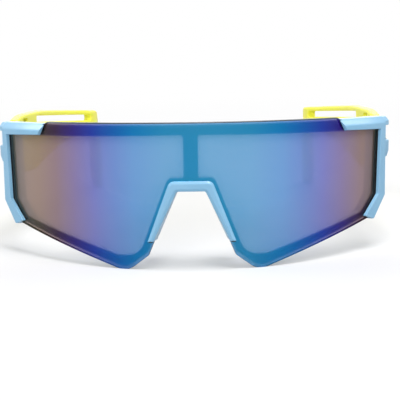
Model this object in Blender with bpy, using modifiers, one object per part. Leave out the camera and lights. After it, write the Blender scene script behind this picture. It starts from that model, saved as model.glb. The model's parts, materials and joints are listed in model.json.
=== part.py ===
# Cycling glasses: a one-piece mirrored shield lens in a light-blue frame, with neon-yellow temples.
# Metres, +Z up. The front faces -Y and the wearer's left is +X. The glasses stand with the temples
# open, on the two low corners of the lens and on the two ear tips.
# The pieces are laid out upright with the lens: that layout's origin is on the front of the lens, in
# the middle plane, level with its sharp low corners. One empty tilts the layout until all four feet
# touch the ground. The world's origin is on the ground, under the middle of the glasses.
import math

import bmesh
import bpy
from mathutils import Matrix, Vector

# Fits
CLEARANCE = 0.0003
HINGE_FIT = 0.0002
OVERRUN = 0.0030
MERGE_DISTANCE = CLEARANCE / 100
FOOT_CUT = 0.0004
ARC_STEP = math.radians(5.0)
CORNER_STEP = math.radians(24.0)
STRAIGHT_ANGLE = math.radians(1.0)
BEVEL_ANGLE = math.radians(40.0)
SMOOTH_ANGLE = math.radians(30.0)
STEEPEST_TILT = math.radians(30.0)
BEND_SLICES = 8
HALVINGS = 50
FLAT_SHARE = 0.999
ROUND_SIDES = 24

# Front as seen from ahead: half width, height of the lens and the angle that it wraps each way
FRONT_HALF = 0.0720
LENS_HEIGHT = 0.0529
WRAP = math.radians(53.56)

# Shield lens: places are shares of the front's half width, of the lens height or of a bracket's end
LENS_THICKNESS = 0.0020
LENS_TOP_SHARE = 0.742
LENS_CUT_SHARE = 0.769
LENS_FOOT_SHARE = 0.3264
LENS_NOSE_SHARE = 0.110
LENS_END_SHARE = 0.41
LENS_END_DROP = 0.0004
LENS_NOSE_INSET = 0.0003
LENS_TUCK = 0.0013
LENS_TOP_ROUND = 0.0020
LENS_NOTCH_ROUND = 0.0016
LENS_FOOT_ROUND = 0.0060
LENS_NOSE_ROUND = 0.0020
LENS_SMALL_ROUND = 0.0005

# Side brackets that hold the lens ends: shares of the front's half width and of the lens height
BRACKET_LIP = 0.0015
BRACKET_DROP = 0.0007
BRACKET_ARM = 0.0042
BRACKET_CORNER_DROP = 0.0005
BRACKET_WIDTH = 0.0028
BRACKET_KNEE_SHARES = (0.9944, 0.4272)
BRACKET_KNEE_WIDTH = 0.0034
BRACKET_KNEE_RISE = 0.0008
BRACKET_END_SHARES = (0.9319, 0.2665)
BRACKET_END_WIDTH = 0.0039
BRACKET_END_RISE = 0.0018
BRACKET_ROUND = 0.0012

# Rim behind the lens: brow bar, centre post, lower rim and nose arch
RIM_INSET = 0.0009
RIM_DEPTH = 0.0027
BAND_TOP = 0.0047
BAND_SIDE_TUCK = 0.0006
BAND_LOW_IN = 0.0044
BAND_LOW_OUT = 0.0033
BAND_LOW_SHARES = (0.113, 1.045)
BAND_LOW_ROUND = 0.0050
BAND_NOSE = 0.0030
BAND_NOSE_ROUND_SHARE = 0.77
BAND_NOSE_EXTRA = 0.0011
BAND_TOP_ROUND = 0.0008
POST_HALF = 0.00265

# Nose bridge: a light-blue clip round the lens notch, with two soft pads; its two inner half widths
# are shares of the front's half width
NOSE_END = 0.0110
NOSE_LOW_SHARE = 0.1868
NOSE_TOP_SHARE = 0.0694
NOSE_IN_TOP = 0.0287
NOSE_LEG_LOW = 0.00205
NOSE_LEG_TOP = 0.0025
NOSE_ARCH = 0.0036
NOSE_IN_ROUND = 0.0008
NOSE_OUT_ROUND = 0.0024
NOSE_WEB = 0.0010
NOSE_LIP = 0.0015
NOSE_FLANGE = 0.0012
NOSE_FLANGE_EXTRA = 0.0013
WING_THICKNESS = 0.0014
WING_DEPTH = 0.0095
WING_LOW_SHARE = 0.02
WING_TOP_SHARE = 0.80
WING_SPLAY = math.tan(math.radians(10.0))
PAD_THICKNESS = 0.0022
PAD_MARGIN = 0.0008
PAD_MARGIN_SHARE = 0.04
PAD_ROUND = 0.0006
PANEL_ROUND_SHARE = 0.3

# Hinges: a vertical screw through two lugs of the frame and the tongue of the temple
HINGE_INSET = 0.0016
HINGE_SETBACK = 0.0066
LUG_RADIUS = 0.0033
LUG_FLARE = 0.0026
LUG_ROOT = 0.0022
LUG_ROUND_SHARE = 0.97
UPPER_LUG = 0.0035
LUG_SPACE = 0.0055
LOWER_LUG = 0.0064
LUG_TAPER = 0.0024
LUG_TAPER_SHARE = 0.80
SCREW_RADIUS = 0.0008
SCREW_HEAD_RADIUS = 0.0015
SCREW_HEAD = 0.0011
SCREW_SINK = 0.0014
SCREW_SLOT_WIDTH = 0.0005
SCREW_SLOT_DEPTH = 0.0005
INSERT_RADIUS = 0.0017
INSERT_HEIGHT = 0.0022
BUSH_WALL = 0.0005
WASHER_THICKNESS = 0.0004
WASHER_RADIUS = 0.0028
EYE_INSET = 0.0009

# Temples: places along the plan line are shares of the length from the hinge to the ear bend, and
# heights are taken from the top of the brackets
TEMPLE_LENGTH = 0.1000
TEMPLE_THICKNESS = 0.0036
TEMPLE_TOE_IN = math.radians(8.0)
TEMPLE_STRAIGHT_SHARE = 0.38
TEMPLE_BEND_SHARE = 0.47
TEMPLE_BEND_TURN = math.radians(20.0)
TEMPLE_RETURN_SHARE = 0.11
TEMPLE_RETURN_TURN = math.radians(-32.0)
TEMPLE_FRONT_DROP = 0.0008
TEMPLE_FRONT_HEIGHT = 0.0198
TEMPLE_CREST_SHARE = 0.38
TEMPLE_CREST_RISE = 0.0024
TEMPLE_CREST_ROUND = 0.2000
TEMPLE_BELLY_SHARE = 0.28
TEMPLE_BELLY_DROP = 0.0213
TEMPLE_BELLY_ROUND = 0.0300
TEMPLE_NARROW_SHARE = 0.80
TEMPLE_NARROW_ROUND = 0.0400
TEMPLE_SHOULDER_ROUND = 0.0015
EAR_DROP = 0.0006
EAR_WIDTH = 0.0088
EAR_TURN = math.radians(48.0)
EAR_ROUND = 0.0220
HOOK_LENGTH = 0.0388
SLOT_SHARES = (0.305, 0.865)
SLOT_WIDTH = 0.0026
SLOT_DROP = 0.0020
SLOT_ROUND = 0.0011

# Ear tips: soft sleeves over a thin core at the end of each temple
TIP_GAP = 0.0020
TIP_HALF_WIDTH = 0.0047
TIP_THICKNESS = 0.0048
TIP_ROUND = 0.0008
TIP_ROUND_SHARE = 0.98
CORE_HALF_WIDTH = 0.0024
CORE_THICKNESS = 0.0018
CORE_END_WALL = 0.0040
CORE_ROOT = 0.0030

# Colours with roughness and metallic value
FRAME_BLUE = ((0.27, 0.58, 0.78), 0.42, 0.0)
LENS_BLUE = ((0.03, 0.22, 0.48), 0.08, 0.6)
TEMPLE_YELLOW = ((0.90, 0.92, 0.06), 0.40, 0.0)
TIP_YELLOW = ((0.80, 0.84, 0.08), 0.70, 0.0)
PAD_CLEAR_BLUE = ((0.45, 0.68, 0.82), 0.65, 0.0)
STEEL = ((0.60, 0.60, 0.62), 0.30, 1.0)
BRASS = ((0.70, 0.52, 0.22), 0.35, 1.0)
NYLON = ((0.85, 0.85, 0.82), 0.50, 0.0)

# Derived sizes of the front
LENS_RADIUS = FRONT_HALF / math.sin(WRAP) - BRACKET_LIP
LIP_RADIUS = LENS_RADIUS + BRACKET_LIP
LENS_TOP_HALF = FRONT_HALF * LENS_TOP_SHARE
LENS_CUT_HALF = FRONT_HALF * LENS_CUT_SHARE
LENS_FOOT_HALF = FRONT_HALF * LENS_FOOT_SHARE
RIM_REAR = LENS_THICKNESS + CLEARANCE + RIM_DEPTH
BRACKET_TOP = LENS_HEIGHT - BRACKET_DROP
BRACKET_ARM_LOW = BRACKET_TOP - BRACKET_ARM
BRACKET_CORNER = (FRONT_HALF - BRACKET_WIDTH, BRACKET_ARM_LOW - BRACKET_CORNER_DROP)
OUTER_KNEE = (FRONT_HALF * BRACKET_KNEE_SHARES[0], LENS_HEIGHT * BRACKET_KNEE_SHARES[1])
INNER_KNEE = (OUTER_KNEE[0] - BRACKET_KNEE_WIDTH, OUTER_KNEE[1] + BRACKET_KNEE_RISE)
OUTER_END = (FRONT_HALF * BRACKET_END_SHARES[0], LENS_HEIGHT * BRACKET_END_SHARES[1])
INNER_END = (OUTER_END[0] - BRACKET_END_WIDTH, OUTER_END[1] + BRACKET_END_RISE)
LENS_END = (
    INNER_END[0] + BRACKET_END_WIDTH * LENS_END_SHARE,
    INNER_END[1] - BRACKET_END_RISE * LENS_END_SHARE - LENS_END_DROP)
NOSE_IN_LOW_HALF = FRONT_HALF * NOSE_LOW_SHARE
NOSE_IN_TOP_HALF = FRONT_HALF * NOSE_TOP_SHARE
NOSE_OUT_TOP = NOSE_IN_TOP + NOSE_ARCH
NOSE_INNER = ((NOSE_IN_LOW_HALF, NOSE_END), (NOSE_IN_TOP_HALF, NOSE_IN_TOP))
NOSE_OUTER = (
    (NOSE_IN_LOW_HALF + NOSE_LEG_LOW, NOSE_END),
    (NOSE_IN_TOP_HALF + NOSE_LEG_TOP, NOSE_OUT_TOP))

# Derived sizes of the hinges
HINGE_X = FRONT_HALF - HINGE_INSET
HINGE_Y = LENS_RADIUS - LIP_RADIUS * math.cos(WRAP) + HINGE_SETBACK
UPPER_LUG_LOW = BRACKET_TOP - UPPER_LUG
LOWER_LUG_TOP = UPPER_LUG_LOW - LUG_SPACE
LOWER_LUG_LOW = LOWER_LUG_TOP - LOWER_LUG
WASHER_LOW = LOWER_LUG_TOP + HINGE_FIT
TONGUE_LOW = WASHER_LOW + WASHER_THICKNESS + HINGE_FIT
TONGUE_TOP = UPPER_LUG_LOW - HINGE_FIT
BORE_RADIUS = SCREW_RADIUS + HINGE_FIT
BUSH_RADIUS = BORE_RADIUS + BUSH_WALL
EYE_RADIUS = LUG_RADIUS - EYE_INSET
HEAD_SEAT = LOWER_LUG_LOW + SCREW_SINK
SCREW_TOP = UPPER_LUG_LOW + HINGE_FIT + INSERT_HEIGHT

# Derived sizes of the temples
TEMPLE_FRONT_TOP = BRACKET_TOP - TEMPLE_FRONT_DROP
TEMPLE_CREST = (TEMPLE_LENGTH * TEMPLE_CREST_SHARE, BRACKET_TOP + TEMPLE_CREST_RISE)
TEMPLE_BELLY = (TEMPLE_LENGTH * TEMPLE_BELLY_SHARE, BRACKET_TOP - TEMPLE_BELLY_DROP)
TEMPLE_STRAIGHT = TEMPLE_LENGTH * TEMPLE_STRAIGHT_SHARE
TEMPLE_BEND = TEMPLE_LENGTH * TEMPLE_BEND_SHARE
TEMPLE_RETURN = TEMPLE_LENGTH * TEMPLE_RETURN_SHARE
EAR_TOP = BRACKET_TOP - EAR_DROP
TIP_START = EAR_ROUND * math.tan(EAR_TURN / 2) + TIP_GAP


# Scene set-up
for old in list(bpy.data.objects):
    bpy.data.objects.remove(old, do_unlink=True)

glasses = bpy.data.collections.new("cycling_glasses")
cutters = bpy.data.collections.new("cutters")
bpy.context.scene.collection.children.link(glasses)
bpy.context.scene.collection.children.link(cutters)


# Flat geometry: corners are (x, z, radius), outlines are lists of (x, z)
def round_corners(corners):
    outline = []
    count = len(corners)
    for i in range(count):
        x, z, radius = corners[i]
        here = Vector((x, z))
        back = Vector(corners[i - 1][:2]) - here
        ahead = Vector(corners[(i + 1) % count][:2]) - here
        angle = back.angle(ahead)
        if radius == 0 or math.pi - angle < STRAIGHT_ANGLE:
            outline.append((x, z))
            continue
        reach = radius / math.tan(angle / 2)
        centre = here + (back.normalized() + ahead.normalized()).normalized() * (
            radius / math.sin(angle / 2))
        start = here + back.normalized() * reach - centre
        turn = start.angle_signed(here + ahead.normalized() * reach - centre)
        steps = max(2, math.ceil(abs(turn) / CORNER_STEP))
        for k in range(steps + 1):
            a = -turn * k / steps
            outline.append((
                centre.x + start.x * math.cos(a) - start.y * math.sin(a),
                centre.y + start.x * math.sin(a) + start.y * math.cos(a)))
    return outline


def shift_edges(corners, shifts):
    """Move each edge (from its corner to the next) inward by its own amount."""
    lines = []
    count = len(corners)
    for i in range(count):
        a = Vector(corners[i][:2])
        b = Vector(corners[(i + 1) % count][:2])
        along = (b - a).normalized()
        inward = Vector((along.y, -along.x))
        lines.append((a + inward * shifts[i], along))
    shifted = []
    for i in range(count):
        p, u = lines[i - 1]
        q, v = lines[i]
        t = (q - p).cross(v) / u.cross(v)
        shifted.append((*(p + u * t), corners[i][2]))
    return shifted


def mirrored(half):
    """Close a clockwise right half with its mirror image."""
    return half + [(-x, z, radius) for x, z, radius in reversed(half)]


def seen_round(half_width, seen_radius, arc, radius):
    """Half width on another radius, after a step along the arc, of a width seen from the front."""
    return radius * math.sin(math.asin(half_width / seen_radius) + arc / LENS_RADIUS)


def flipped(corners):
    return [(-x, z, radius) for x, z, radius in reversed(corners)]


def line_at(a, b, z):
    return a[0] + (b[0] - a[0]) * (z - a[1]) / (b[1] - a[1])


def trapezoid(low, top, grow, low_height):
    """Right side of a nose arch line: low and top corner, grown outward, cut at a height."""
    slope = (top[0] - low[0]) / (top[1] - low[1])
    outward = grow * math.hypot(1, slope)
    height = top[1] + grow
    return (
        (line_at(low, top, low_height) + outward, low_height),
        (line_at(low, top, height) + outward, height))


# Meshes from outlines
def plate(outline, near, far, holes=(), scale=1.0):
    """A flat plate: x and z hold the outline and y runs over the depth."""
    curve = bpy.data.curves.new("plate", "CURVE")
    curve.dimensions = "2D"
    curve.fill_mode = "BOTH"
    curve.extrude = (far - near) / 2
    for loop in (outline, *holes):
        spline = curve.splines.new("POLY")
        spline.points.add(len(loop) - 1)
        for point, (x, z) in zip(spline.points, loop):
            point.co = (x * scale, z, 0, 1)
        spline.use_cyclic_u = True
    guide = bpy.data.objects.new("plate", curve)
    cutters.objects.link(guide)
    mesh = evaluated_mesh(guide)
    bm = bmesh.new()
    bm.from_mesh(mesh)
    bmesh.ops.remove_doubles(bm, verts=bm.verts, dist=MERGE_DISTANCE)
    for vertex in bm.verts:
        x, z, depth = vertex.co
        vertex.co = (x, (near + far) / 2 - depth, z)
    bm.to_mesh(mesh)
    bm.free()
    return mesh


def evaluated_mesh(guide):
    """The mesh of an object with its modifiers applied; the object is removed."""
    evaluated = guide.evaluated_get(bpy.context.evaluated_depsgraph_get())
    mesh = bpy.data.meshes.new_from_object(evaluated)
    bpy.data.objects.remove(guide, do_unlink=True)
    return mesh


def joined(base, *steps):
    """Boolean steps on a mesh: each step is an operation and a mesh."""
    guide = bpy.data.objects.new("base", base)
    cutters.objects.link(guide)
    others = []
    for operation, mesh in steps:
        other = bpy.data.objects.new("step", mesh)
        cutters.objects.link(other)
        others.append(other)
        combine(guide, other, operation)
    mesh = evaluated_mesh(guide)
    for other in others:
        bpy.data.objects.remove(other, do_unlink=True)
    return mesh


def bevelled(mesh, width, segments=2):
    """A mesh with its sharp edges rounded."""
    guide = bpy.data.objects.new("base", mesh)
    cutters.objects.link(guide)
    bevel = guide.modifiers.new("round", "BEVEL")
    bevel.width = width
    bevel.segments = segments
    bevel.limit_method = "ANGLE"
    bevel.angle_limit = BEVEL_ANGLE
    return evaluated_mesh(guide)


def bend(mesh, name, cuts, place, flip=False):
    """Slice a flat mesh across x at the cuts and bend it there, so it stays flat between two cuts."""
    bm = bmesh.new()
    bm.from_mesh(mesh)
    bmesh.ops.triangulate(bm, faces=bm.faces)
    for x in cuts:
        bmesh.ops.bisect_plane(
            bm, geom=bm.verts[:] + bm.edges[:] + bm.faces[:], dist=MERGE_DISTANCE,
            plane_co=(x, 0, 0), plane_no=(1, 0, 0))
    regions = {}
    for polygon in bm.faces:
        if abs(polygon.normal.y) > FLAT_SHARE:
            centre = polygon.calc_center_median()
            slice_number = sum(1 for cut in cuts if cut <= centre.x)
            level = round(centre.y / MERGE_DISTANCE)
            regions.setdefault((slice_number, level), []).append(polygon)
    for faces in regions.values():
        bmesh.ops.dissolve_faces(bm, faces=faces, use_verts=True)
    for vertex in bm.verts:
        x, depth, z = vertex.co
        after = sum(1 for cut in cuts if cut <= x)
        if 0 < after < len(cuts):
            near, far = cuts[after - 1], cuts[after]
            vertex.co = place(near, depth, z).lerp(place(far, depth, z), (x - near) / (far - near))
        else:
            vertex.co = place(x, depth, z)
    bm.normal_update()
    bmesh.ops.triangulate(bm, faces=bm.faces)
    if flip:
        bmesh.ops.reverse_faces(bm, faces=bm.faces)
    bent = bpy.data.meshes.new(name)
    bm.to_mesh(bent)
    bm.free()
    return bent


def bend_to_face(mesh, name, lean=0, lean_from=0):
    """Bend a flat mesh round the curve of the lens; past a depth it may lean outward."""
    widest = max(abs(vertex.co.x) for vertex in mesh.vertices)
    steps = math.ceil(math.asin(widest / LENS_RADIUS) / ARC_STEP)
    cuts = [LENS_RADIUS * math.sin(k * ARC_STEP) for k in range(-steps, steps + 1)]

    def place(x, depth, z):
        angle = math.asin(x / LENS_RADIUS)
        radius = LENS_RADIUS - depth
        outward = math.copysign(lean * max(0.0, depth - lean_from), x)
        return Vector((radius * math.sin(angle) + outward, LENS_RADIUS - radius * math.cos(angle), z))

    return bend(mesh, name, cuts, place)


def face_plate(outline, near, far, seen, holes=()):
    """A flat plate whose outline is as seen from the front, once bent, at the depth called seen."""
    return plate(outline, near, far, holes, LENS_RADIUS / (LENS_RADIUS - seen))


def temple_plan(u):
    """Point and heading on the left temple's plan line, at a distance from the hinge axis."""
    x = y = 0.0
    heading = TEMPLE_TOE_IN
    stretches = (
        (TEMPLE_STRAIGHT, 0.0),
        (TEMPLE_BEND, TEMPLE_BEND_TURN),
        (TEMPLE_RETURN, TEMPLE_RETURN_TURN),
        (math.inf, 0.0))
    for length, turn in stretches:
        step = min(u, length)
        if turn:
            radius = length / turn
            after = heading + step / radius
            x -= radius * (math.cos(heading) - math.cos(after))
            y += radius * (math.sin(after) - math.sin(heading))
            heading = after
        else:
            x -= step * math.sin(heading)
            y += step * math.cos(heading)
        u -= step
        if u <= 0:
            break
    return x, y, heading


def bend_to_temple(mesh, name, side):
    """Bend a flat mesh, whose x runs back from the hinge, along one temple's plan line."""
    last = TEMPLE_STRAIGHT + TEMPLE_BEND
    cuts = [TEMPLE_STRAIGHT + TEMPLE_BEND * k / BEND_SLICES for k in range(BEND_SLICES)]
    cuts += [last + TEMPLE_RETURN * k / BEND_SLICES for k in range(BEND_SLICES + 1)]

    def place(u, depth, z):
        x, y, heading = temple_plan(u)
        return Vector((
            side * (x + depth * math.cos(heading)), y + depth * math.sin(heading), z))

    return bend(mesh, name, cuts, place, flip=side > 0)


def upright(outline, low, high, side=1):
    """A vertical block whose outline is its plan."""
    mesh = plate(outline, low, high)
    for vertex in mesh.vertices:
        x, depth, y = vertex.co
        vertex.co = (side * x, y, depth)
    if side > 0:
        mesh.flip_normals()
    return mesh


def turned(profile, name="turned"):
    """A body turned round the z axis from (radius, height) points that run top to bottom."""
    mesh = bpy.data.meshes.new(name)
    edges = [(i, i + 1) for i in range(len(profile) - 1)]
    if profile[0][0] > 0:
        edges.append((len(profile) - 1, 0))
    mesh.from_pydata([(r, 0, z) for r, z in profile], edges, [])
    guide = bpy.data.objects.new(name, mesh)
    cutters.objects.link(guide)
    screw = guide.modifiers.new("turn", "SCREW")
    screw.steps = ROUND_SIDES
    screw.render_steps = ROUND_SIDES
    screw.use_merge_vertices = True
    screw.merge_threshold = MERGE_DISTANCE
    return evaluated_mesh(guide)


def disc(radius, low, high):
    return turned([(0, high), (radius, high), (radius, low), (0, low)])


def ring(outer, inner, low, high):
    return turned([(inner, high), (outer, high), (outer, low), (inner, low)])


def moved(mesh, offset):
    mesh.transform(Matrix.Translation(offset))
    return mesh


# Objects
def material(name, look):
    colour, roughness, metallic = look
    made = bpy.data.materials.new(name)
    made.use_nodes = True
    shader = made.node_tree.nodes["Principled BSDF"]
    shader.inputs["Base Color"].default_value = (*colour, 1)
    shader.inputs["Roughness"].default_value = roughness
    shader.inputs["Metallic"].default_value = metallic
    return made


def part(name, mesh, parent, look):
    made = bpy.data.objects.new(name, mesh)
    made.parent = parent
    made.data.materials.clear()
    made.data.materials.append(look)
    glasses.objects.link(made)
    made.data.shade_smooth()
    made.data.set_sharp_from_angle(angle=SMOOTH_ANGLE)
    return made


def combine(target, other, operation):
    boolean = target.modifiers.new(other.name, "BOOLEAN")
    boolean.operation = operation
    boolean.solver = "EXACT"
    boolean.object = other


def empty(name, parent, place=(0, 0, 0)):
    made = bpy.data.objects.new(name, None)
    made.location = place
    made.parent = parent
    glasses.objects.link(made)
    return made


# Lens outline
def lens_corners():
    """The whole lens outline; its ends are tucked under the bracket lips."""
    corner_half = seen_round(BRACKET_CORNER[0], LIP_RADIUS, LENS_TUCK, LENS_RADIUS)
    knee_half = seen_round(INNER_KNEE[0], LIP_RADIUS, LENS_TUCK, LENS_RADIUS)
    arm_tuck = BRACKET_ARM_LOW + BRACKET_LIP / 2
    nose_height = LENS_HEIGHT * LENS_NOSE_SHARE
    notch_low = NOSE_END - CLEARANCE
    narrow = trapezoid(*NOSE_INNER, 0, notch_low)
    wide = trapezoid(*NOSE_INNER, NOSE_WEB + CLEARANCE, notch_low)
    half = [
        (LENS_TOP_HALF, LENS_HEIGHT, LENS_TOP_ROUND),
        (LENS_CUT_HALF, arm_tuck, LENS_SMALL_ROUND),
        (corner_half, arm_tuck, LENS_SMALL_ROUND),
        (knee_half, INNER_KNEE[1], LENS_TOP_ROUND),
        (*LENS_END, LENS_SMALL_ROUND),
        (LENS_FOOT_HALF, 0, LENS_FOOT_ROUND),
        (line_at(*NOSE_INNER, nose_height) - LENS_NOSE_INSET, nose_height, LENS_NOSE_ROUND),
        (*narrow[0], 0),
        (*wide[0], 0),
        (*wide[1], LENS_NOTCH_ROUND)]
    return mirrored(half)


def rim_shifts():
    """How far each edge of the rim lies inside the lens outline."""
    half = [0, 0, 0, 0, RIM_INSET, RIM_INSET, RIM_INSET / 2, 0, 0]
    return half + [0] + half[::-1] + [RIM_INSET]


def window_corners():
    """The opening of the rim behind the right half of the lens."""
    rim_radius = LENS_RADIUS - LENS_THICKNESS - CLEARANCE
    corner_half = seen_round(BRACKET_CORNER[0], LIP_RADIUS, BAND_SIDE_TUCK, rim_radius)
    knee_half = seen_round(INNER_KNEE[0], LIP_RADIUS, BAND_SIDE_TUCK, rim_radius)
    arch_low, arch_top = trapezoid(*NOSE_OUTER, BAND_NOSE_EXTRA, NOSE_END)
    top = LENS_HEIGHT - BAND_TOP
    foot = Vector((LENS_FOOT_HALF, 0))
    edge = Vector(LENS_END) - foot
    upward = Vector((-edge.y, edge.x)).normalized()
    low_in = foot + edge * BAND_LOW_SHARES[0] + upward * BAND_LOW_IN
    low_out = foot + edge * BAND_LOW_SHARES[1] + upward * BAND_LOW_OUT
    nose_half = line_at(*NOSE_INNER, low_in.y) + BAND_NOSE
    nose_round = (low_in.x - nose_half) * BAND_NOSE_ROUND_SHARE
    return [
        (POST_HALF, top, BAND_TOP_ROUND),
        (LENS_TOP_HALF, top, 0),
        (corner_half, BRACKET_CORNER[1], BAND_TOP_ROUND),
        (knee_half, INNER_KNEE[1], BAND_TOP_ROUND),
        (*low_out, BAND_TOP_ROUND),
        (*low_in, BAND_LOW_ROUND),
        (nose_half, low_in.y, nose_round),
        (*arch_top, NOSE_OUT_ROUND),
        (POST_HALF, arch_top[1], BAND_TOP_ROUND)]


def bracket_corners():
    cut_end = (LENS_CUT_HALF, BRACKET_ARM_LOW + BRACKET_LIP / 2)
    cut_top = (LENS_TOP_HALF, LENS_HEIGHT)
    gap = CLEARANCE * math.hypot(cut_top[0] - cut_end[0], cut_top[1] - cut_end[1])
    gap /= cut_top[1] - cut_end[1]
    return [
        (line_at(cut_end, cut_top, BRACKET_TOP) + gap, BRACKET_TOP, 0),
        (FRONT_HALF, BRACKET_TOP, BRACKET_ROUND),
        (*OUTER_KNEE, BRACKET_ROUND),
        (*OUTER_END, 0),
        (*INNER_END, 0),
        (*INNER_KNEE, BRACKET_ROUND),
        (*BRACKET_CORNER, 0),
        (line_at(cut_end, cut_top, BRACKET_ARM_LOW) + gap, BRACKET_ARM_LOW, 0)]


LENS_OUTLINE = lens_corners()
LENS_GROWN = shift_edges(LENS_OUTLINE, [-CLEARANCE] * len(LENS_OUTLINE))

# Temple outlines, as distance from the hinge along the plan line and height
def hook_point(along, across):
    """A point on the hook: distance down its middle line, and up across it."""
    middle = EAR_WIDTH / 2
    u = TEMPLE_LENGTH - middle * math.tan(EAR_TURN / 2)
    z = EAR_TOP - middle
    return (
        u + along * math.cos(EAR_TURN) + across * math.sin(EAR_TURN),
        z - along * math.sin(EAR_TURN) + across * math.cos(EAR_TURN))


def strip(start, end, half, end_radius):
    """A straight strip down the hook."""
    return round_corners([
        (*hook_point(start, half), 0),
        (*hook_point(end, half), end_radius),
        (*hook_point(end, -half), end_radius),
        (*hook_point(start, -half), 0)])


def temple_outline():
    front = LUG_RADIUS + CLEARANCE * 2
    shoulder = TEMPLE_SHOULDER_ROUND
    ear_low = EAR_TOP - EAR_WIDTH
    half = EAR_WIDTH / 2
    return round_corners([
        (0, TONGUE_LOW, 0),
        (0, TONGUE_TOP, 0),
        (front, TONGUE_TOP, 0),
        (front, TEMPLE_FRONT_TOP, shoulder),
        (*TEMPLE_CREST, TEMPLE_CREST_ROUND),
        (TEMPLE_LENGTH, EAR_TOP, EAR_ROUND),
        (*hook_point(TIP_START, half), 0),
        (*hook_point(TIP_START, -half), 0),
        (TEMPLE_LENGTH - EAR_WIDTH * math.tan(EAR_TURN / 2), ear_low, EAR_ROUND - EAR_WIDTH),
        (TEMPLE_LENGTH * TEMPLE_NARROW_SHARE, ear_low, TEMPLE_NARROW_ROUND),
        (*TEMPLE_BELLY, TEMPLE_BELLY_ROUND),
        (front, TEMPLE_FRONT_TOP - TEMPLE_FRONT_HEIGHT, shoulder),
        (front, TONGUE_LOW, 0)])


def slot_outline():
    """The long window under the top edge of the temple."""
    start, end = (TEMPLE_LENGTH * share for share in SLOT_SHARES)
    fall = (TEMPLE_CREST[1] - EAR_TOP) / (TEMPLE_LENGTH - TEMPLE_CREST[0])
    start_top = TEMPLE_CREST[1] - SLOT_DROP
    end_top = start_top - fall * (end - TEMPLE_CREST[0])
    return round_corners([
        (start, start_top, SLOT_ROUND),
        (end, end_top, SLOT_ROUND),
        (end, end_top - SLOT_WIDTH, SLOT_ROUND),
        (start, start_top - SLOT_WIDTH, SLOT_ROUND)])


# Standing tilt
def lens_feet():
    points = []
    for x, z in round_corners(LENS_OUTLINE):
        rear = LENS_RADIUS - LENS_THICKNESS
        points.append((LENS_RADIUS - rear * math.cos(math.asin(x / LENS_RADIUS)), z))
    return points


def tip_feet():
    outline = strip(TIP_START, HOOK_LENGTH + TIP_HALF_WIDTH, TIP_HALF_WIDTH, TIP_HALF_WIDTH)
    return [(HINGE_Y + temple_plan(u)[1], z) for u, z in outline]


def lowest(points, tilt):
    return min(z * math.cos(tilt) - y * math.sin(tilt) for y, z in points)


def standing_tilt():
    """The tilt at which the lens corners and the ear tips reach the ground together."""
    flat, steep = 0.0, STEEPEST_TILT
    for _ in range(HALVINGS):
        middle = (flat + steep) / 2
        if lowest(tip_feet(), middle) > lowest(lens_feet(), middle):
            flat = middle
        else:
            steep = middle
    return flat


TILT = standing_tilt()
REST_HEIGHT = -lowest(lens_feet(), TILT) - FOOT_CUT

face = empty("face", None, (0, 0, REST_HEIGHT))
face.rotation_euler = (-TILT, 0, 0)

blue = material("frame_light_blue", FRAME_BLUE)
mirror = material("lens_blue_mirror", LENS_BLUE)
yellow = material("temple_neon_yellow", TEMPLE_YELLOW)
soft_yellow = material("ear_tip_rubber", TIP_YELLOW)
soft_blue = material("nose_pad_silicone", PAD_CLEAR_BLUE)
steel = material("screw_steel", STEEL)
brass = material("brass", BRASS)
nylon = material("washer_nylon", NYLON)


def ground_cutter():
    """Everything under the ground plane, for flat feet."""
    bpy.ops.mesh.primitive_cube_add(size=1)
    block = bpy.context.active_object
    block.name = "ground"
    reach = (HINGE_Y + TEMPLE_LENGTH + HOOK_LENGTH) * 4
    block.scale = (reach, reach, reach)
    block.location = (0, 0, -reach / 2)
    bpy.ops.object.transform_apply(location=True, rotation=False, scale=True)
    for collection in list(block.users_collection):
        collection.objects.unlink(block)
    block.hide_render = True
    block.display_type = "WIRE"
    cutters.objects.link(block)
    return block


ground = ground_cutter()


# Shield lens
def build_lens():
    flat = face_plate(round_corners(LENS_OUTLINE), 0, LENS_THICKNESS, 0)
    lens = part("shield_lens", bend_to_face(flat, "shield_lens"), face, mirror)
    combine(lens, ground, "DIFFERENCE")


# Front frame: rim, brackets and hinge lugs in one piece
def lug_plan():
    """Plan of a hinge lug, from inside the bracket end to a round end about the axis."""
    root = WRAP - LUG_ROOT / LENS_RADIUS
    near = LIP_RADIUS - CLEARANCE * 2
    far = LENS_RADIUS - RIM_REAR + CLEARANCE
    outer = HINGE_X + LUG_RADIUS
    inner = HINGE_X - LUG_RADIUS
    rear = HINGE_Y + LUG_RADIUS
    front = HINGE_Y - LUG_FLARE
    return round_corners([
        (near * math.sin(root), LENS_RADIUS - near * math.cos(root), 0),
        (far * math.sin(root), LENS_RADIUS - far * math.cos(root), 0),
        (inner, front, 0),
        (inner, rear, LUG_RADIUS * LUG_ROUND_SHARE),
        (outer, rear, LUG_RADIUS * LUG_ROUND_SHARE),
        (outer, front, 0)])


def lower_lug(side):
    """The lower lug, drawn in towards the axis at its bottom."""
    mesh = upright(lug_plan(), LOWER_LUG_LOW, LOWER_LUG_TOP, side)
    axis = Vector((side * HINGE_X, HINGE_Y, LOWER_LUG_LOW))
    bm = bmesh.new()
    bm.from_mesh(mesh)
    bmesh.ops.bisect_plane(
        bm, geom=bm.verts[:] + bm.edges[:] + bm.faces[:], dist=MERGE_DISTANCE,
        plane_co=(0, 0, LOWER_LUG_LOW + LUG_TAPER), plane_no=(0, 0, 1))
    for vertex in bm.verts:
        if vertex.co.z < LOWER_LUG_LOW + LUG_TAPER / 2:
            vertex.co = axis + (vertex.co - axis) * LUG_TAPER_SHARE
    bm.to_mesh(mesh)
    bm.free()
    return mesh


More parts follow.
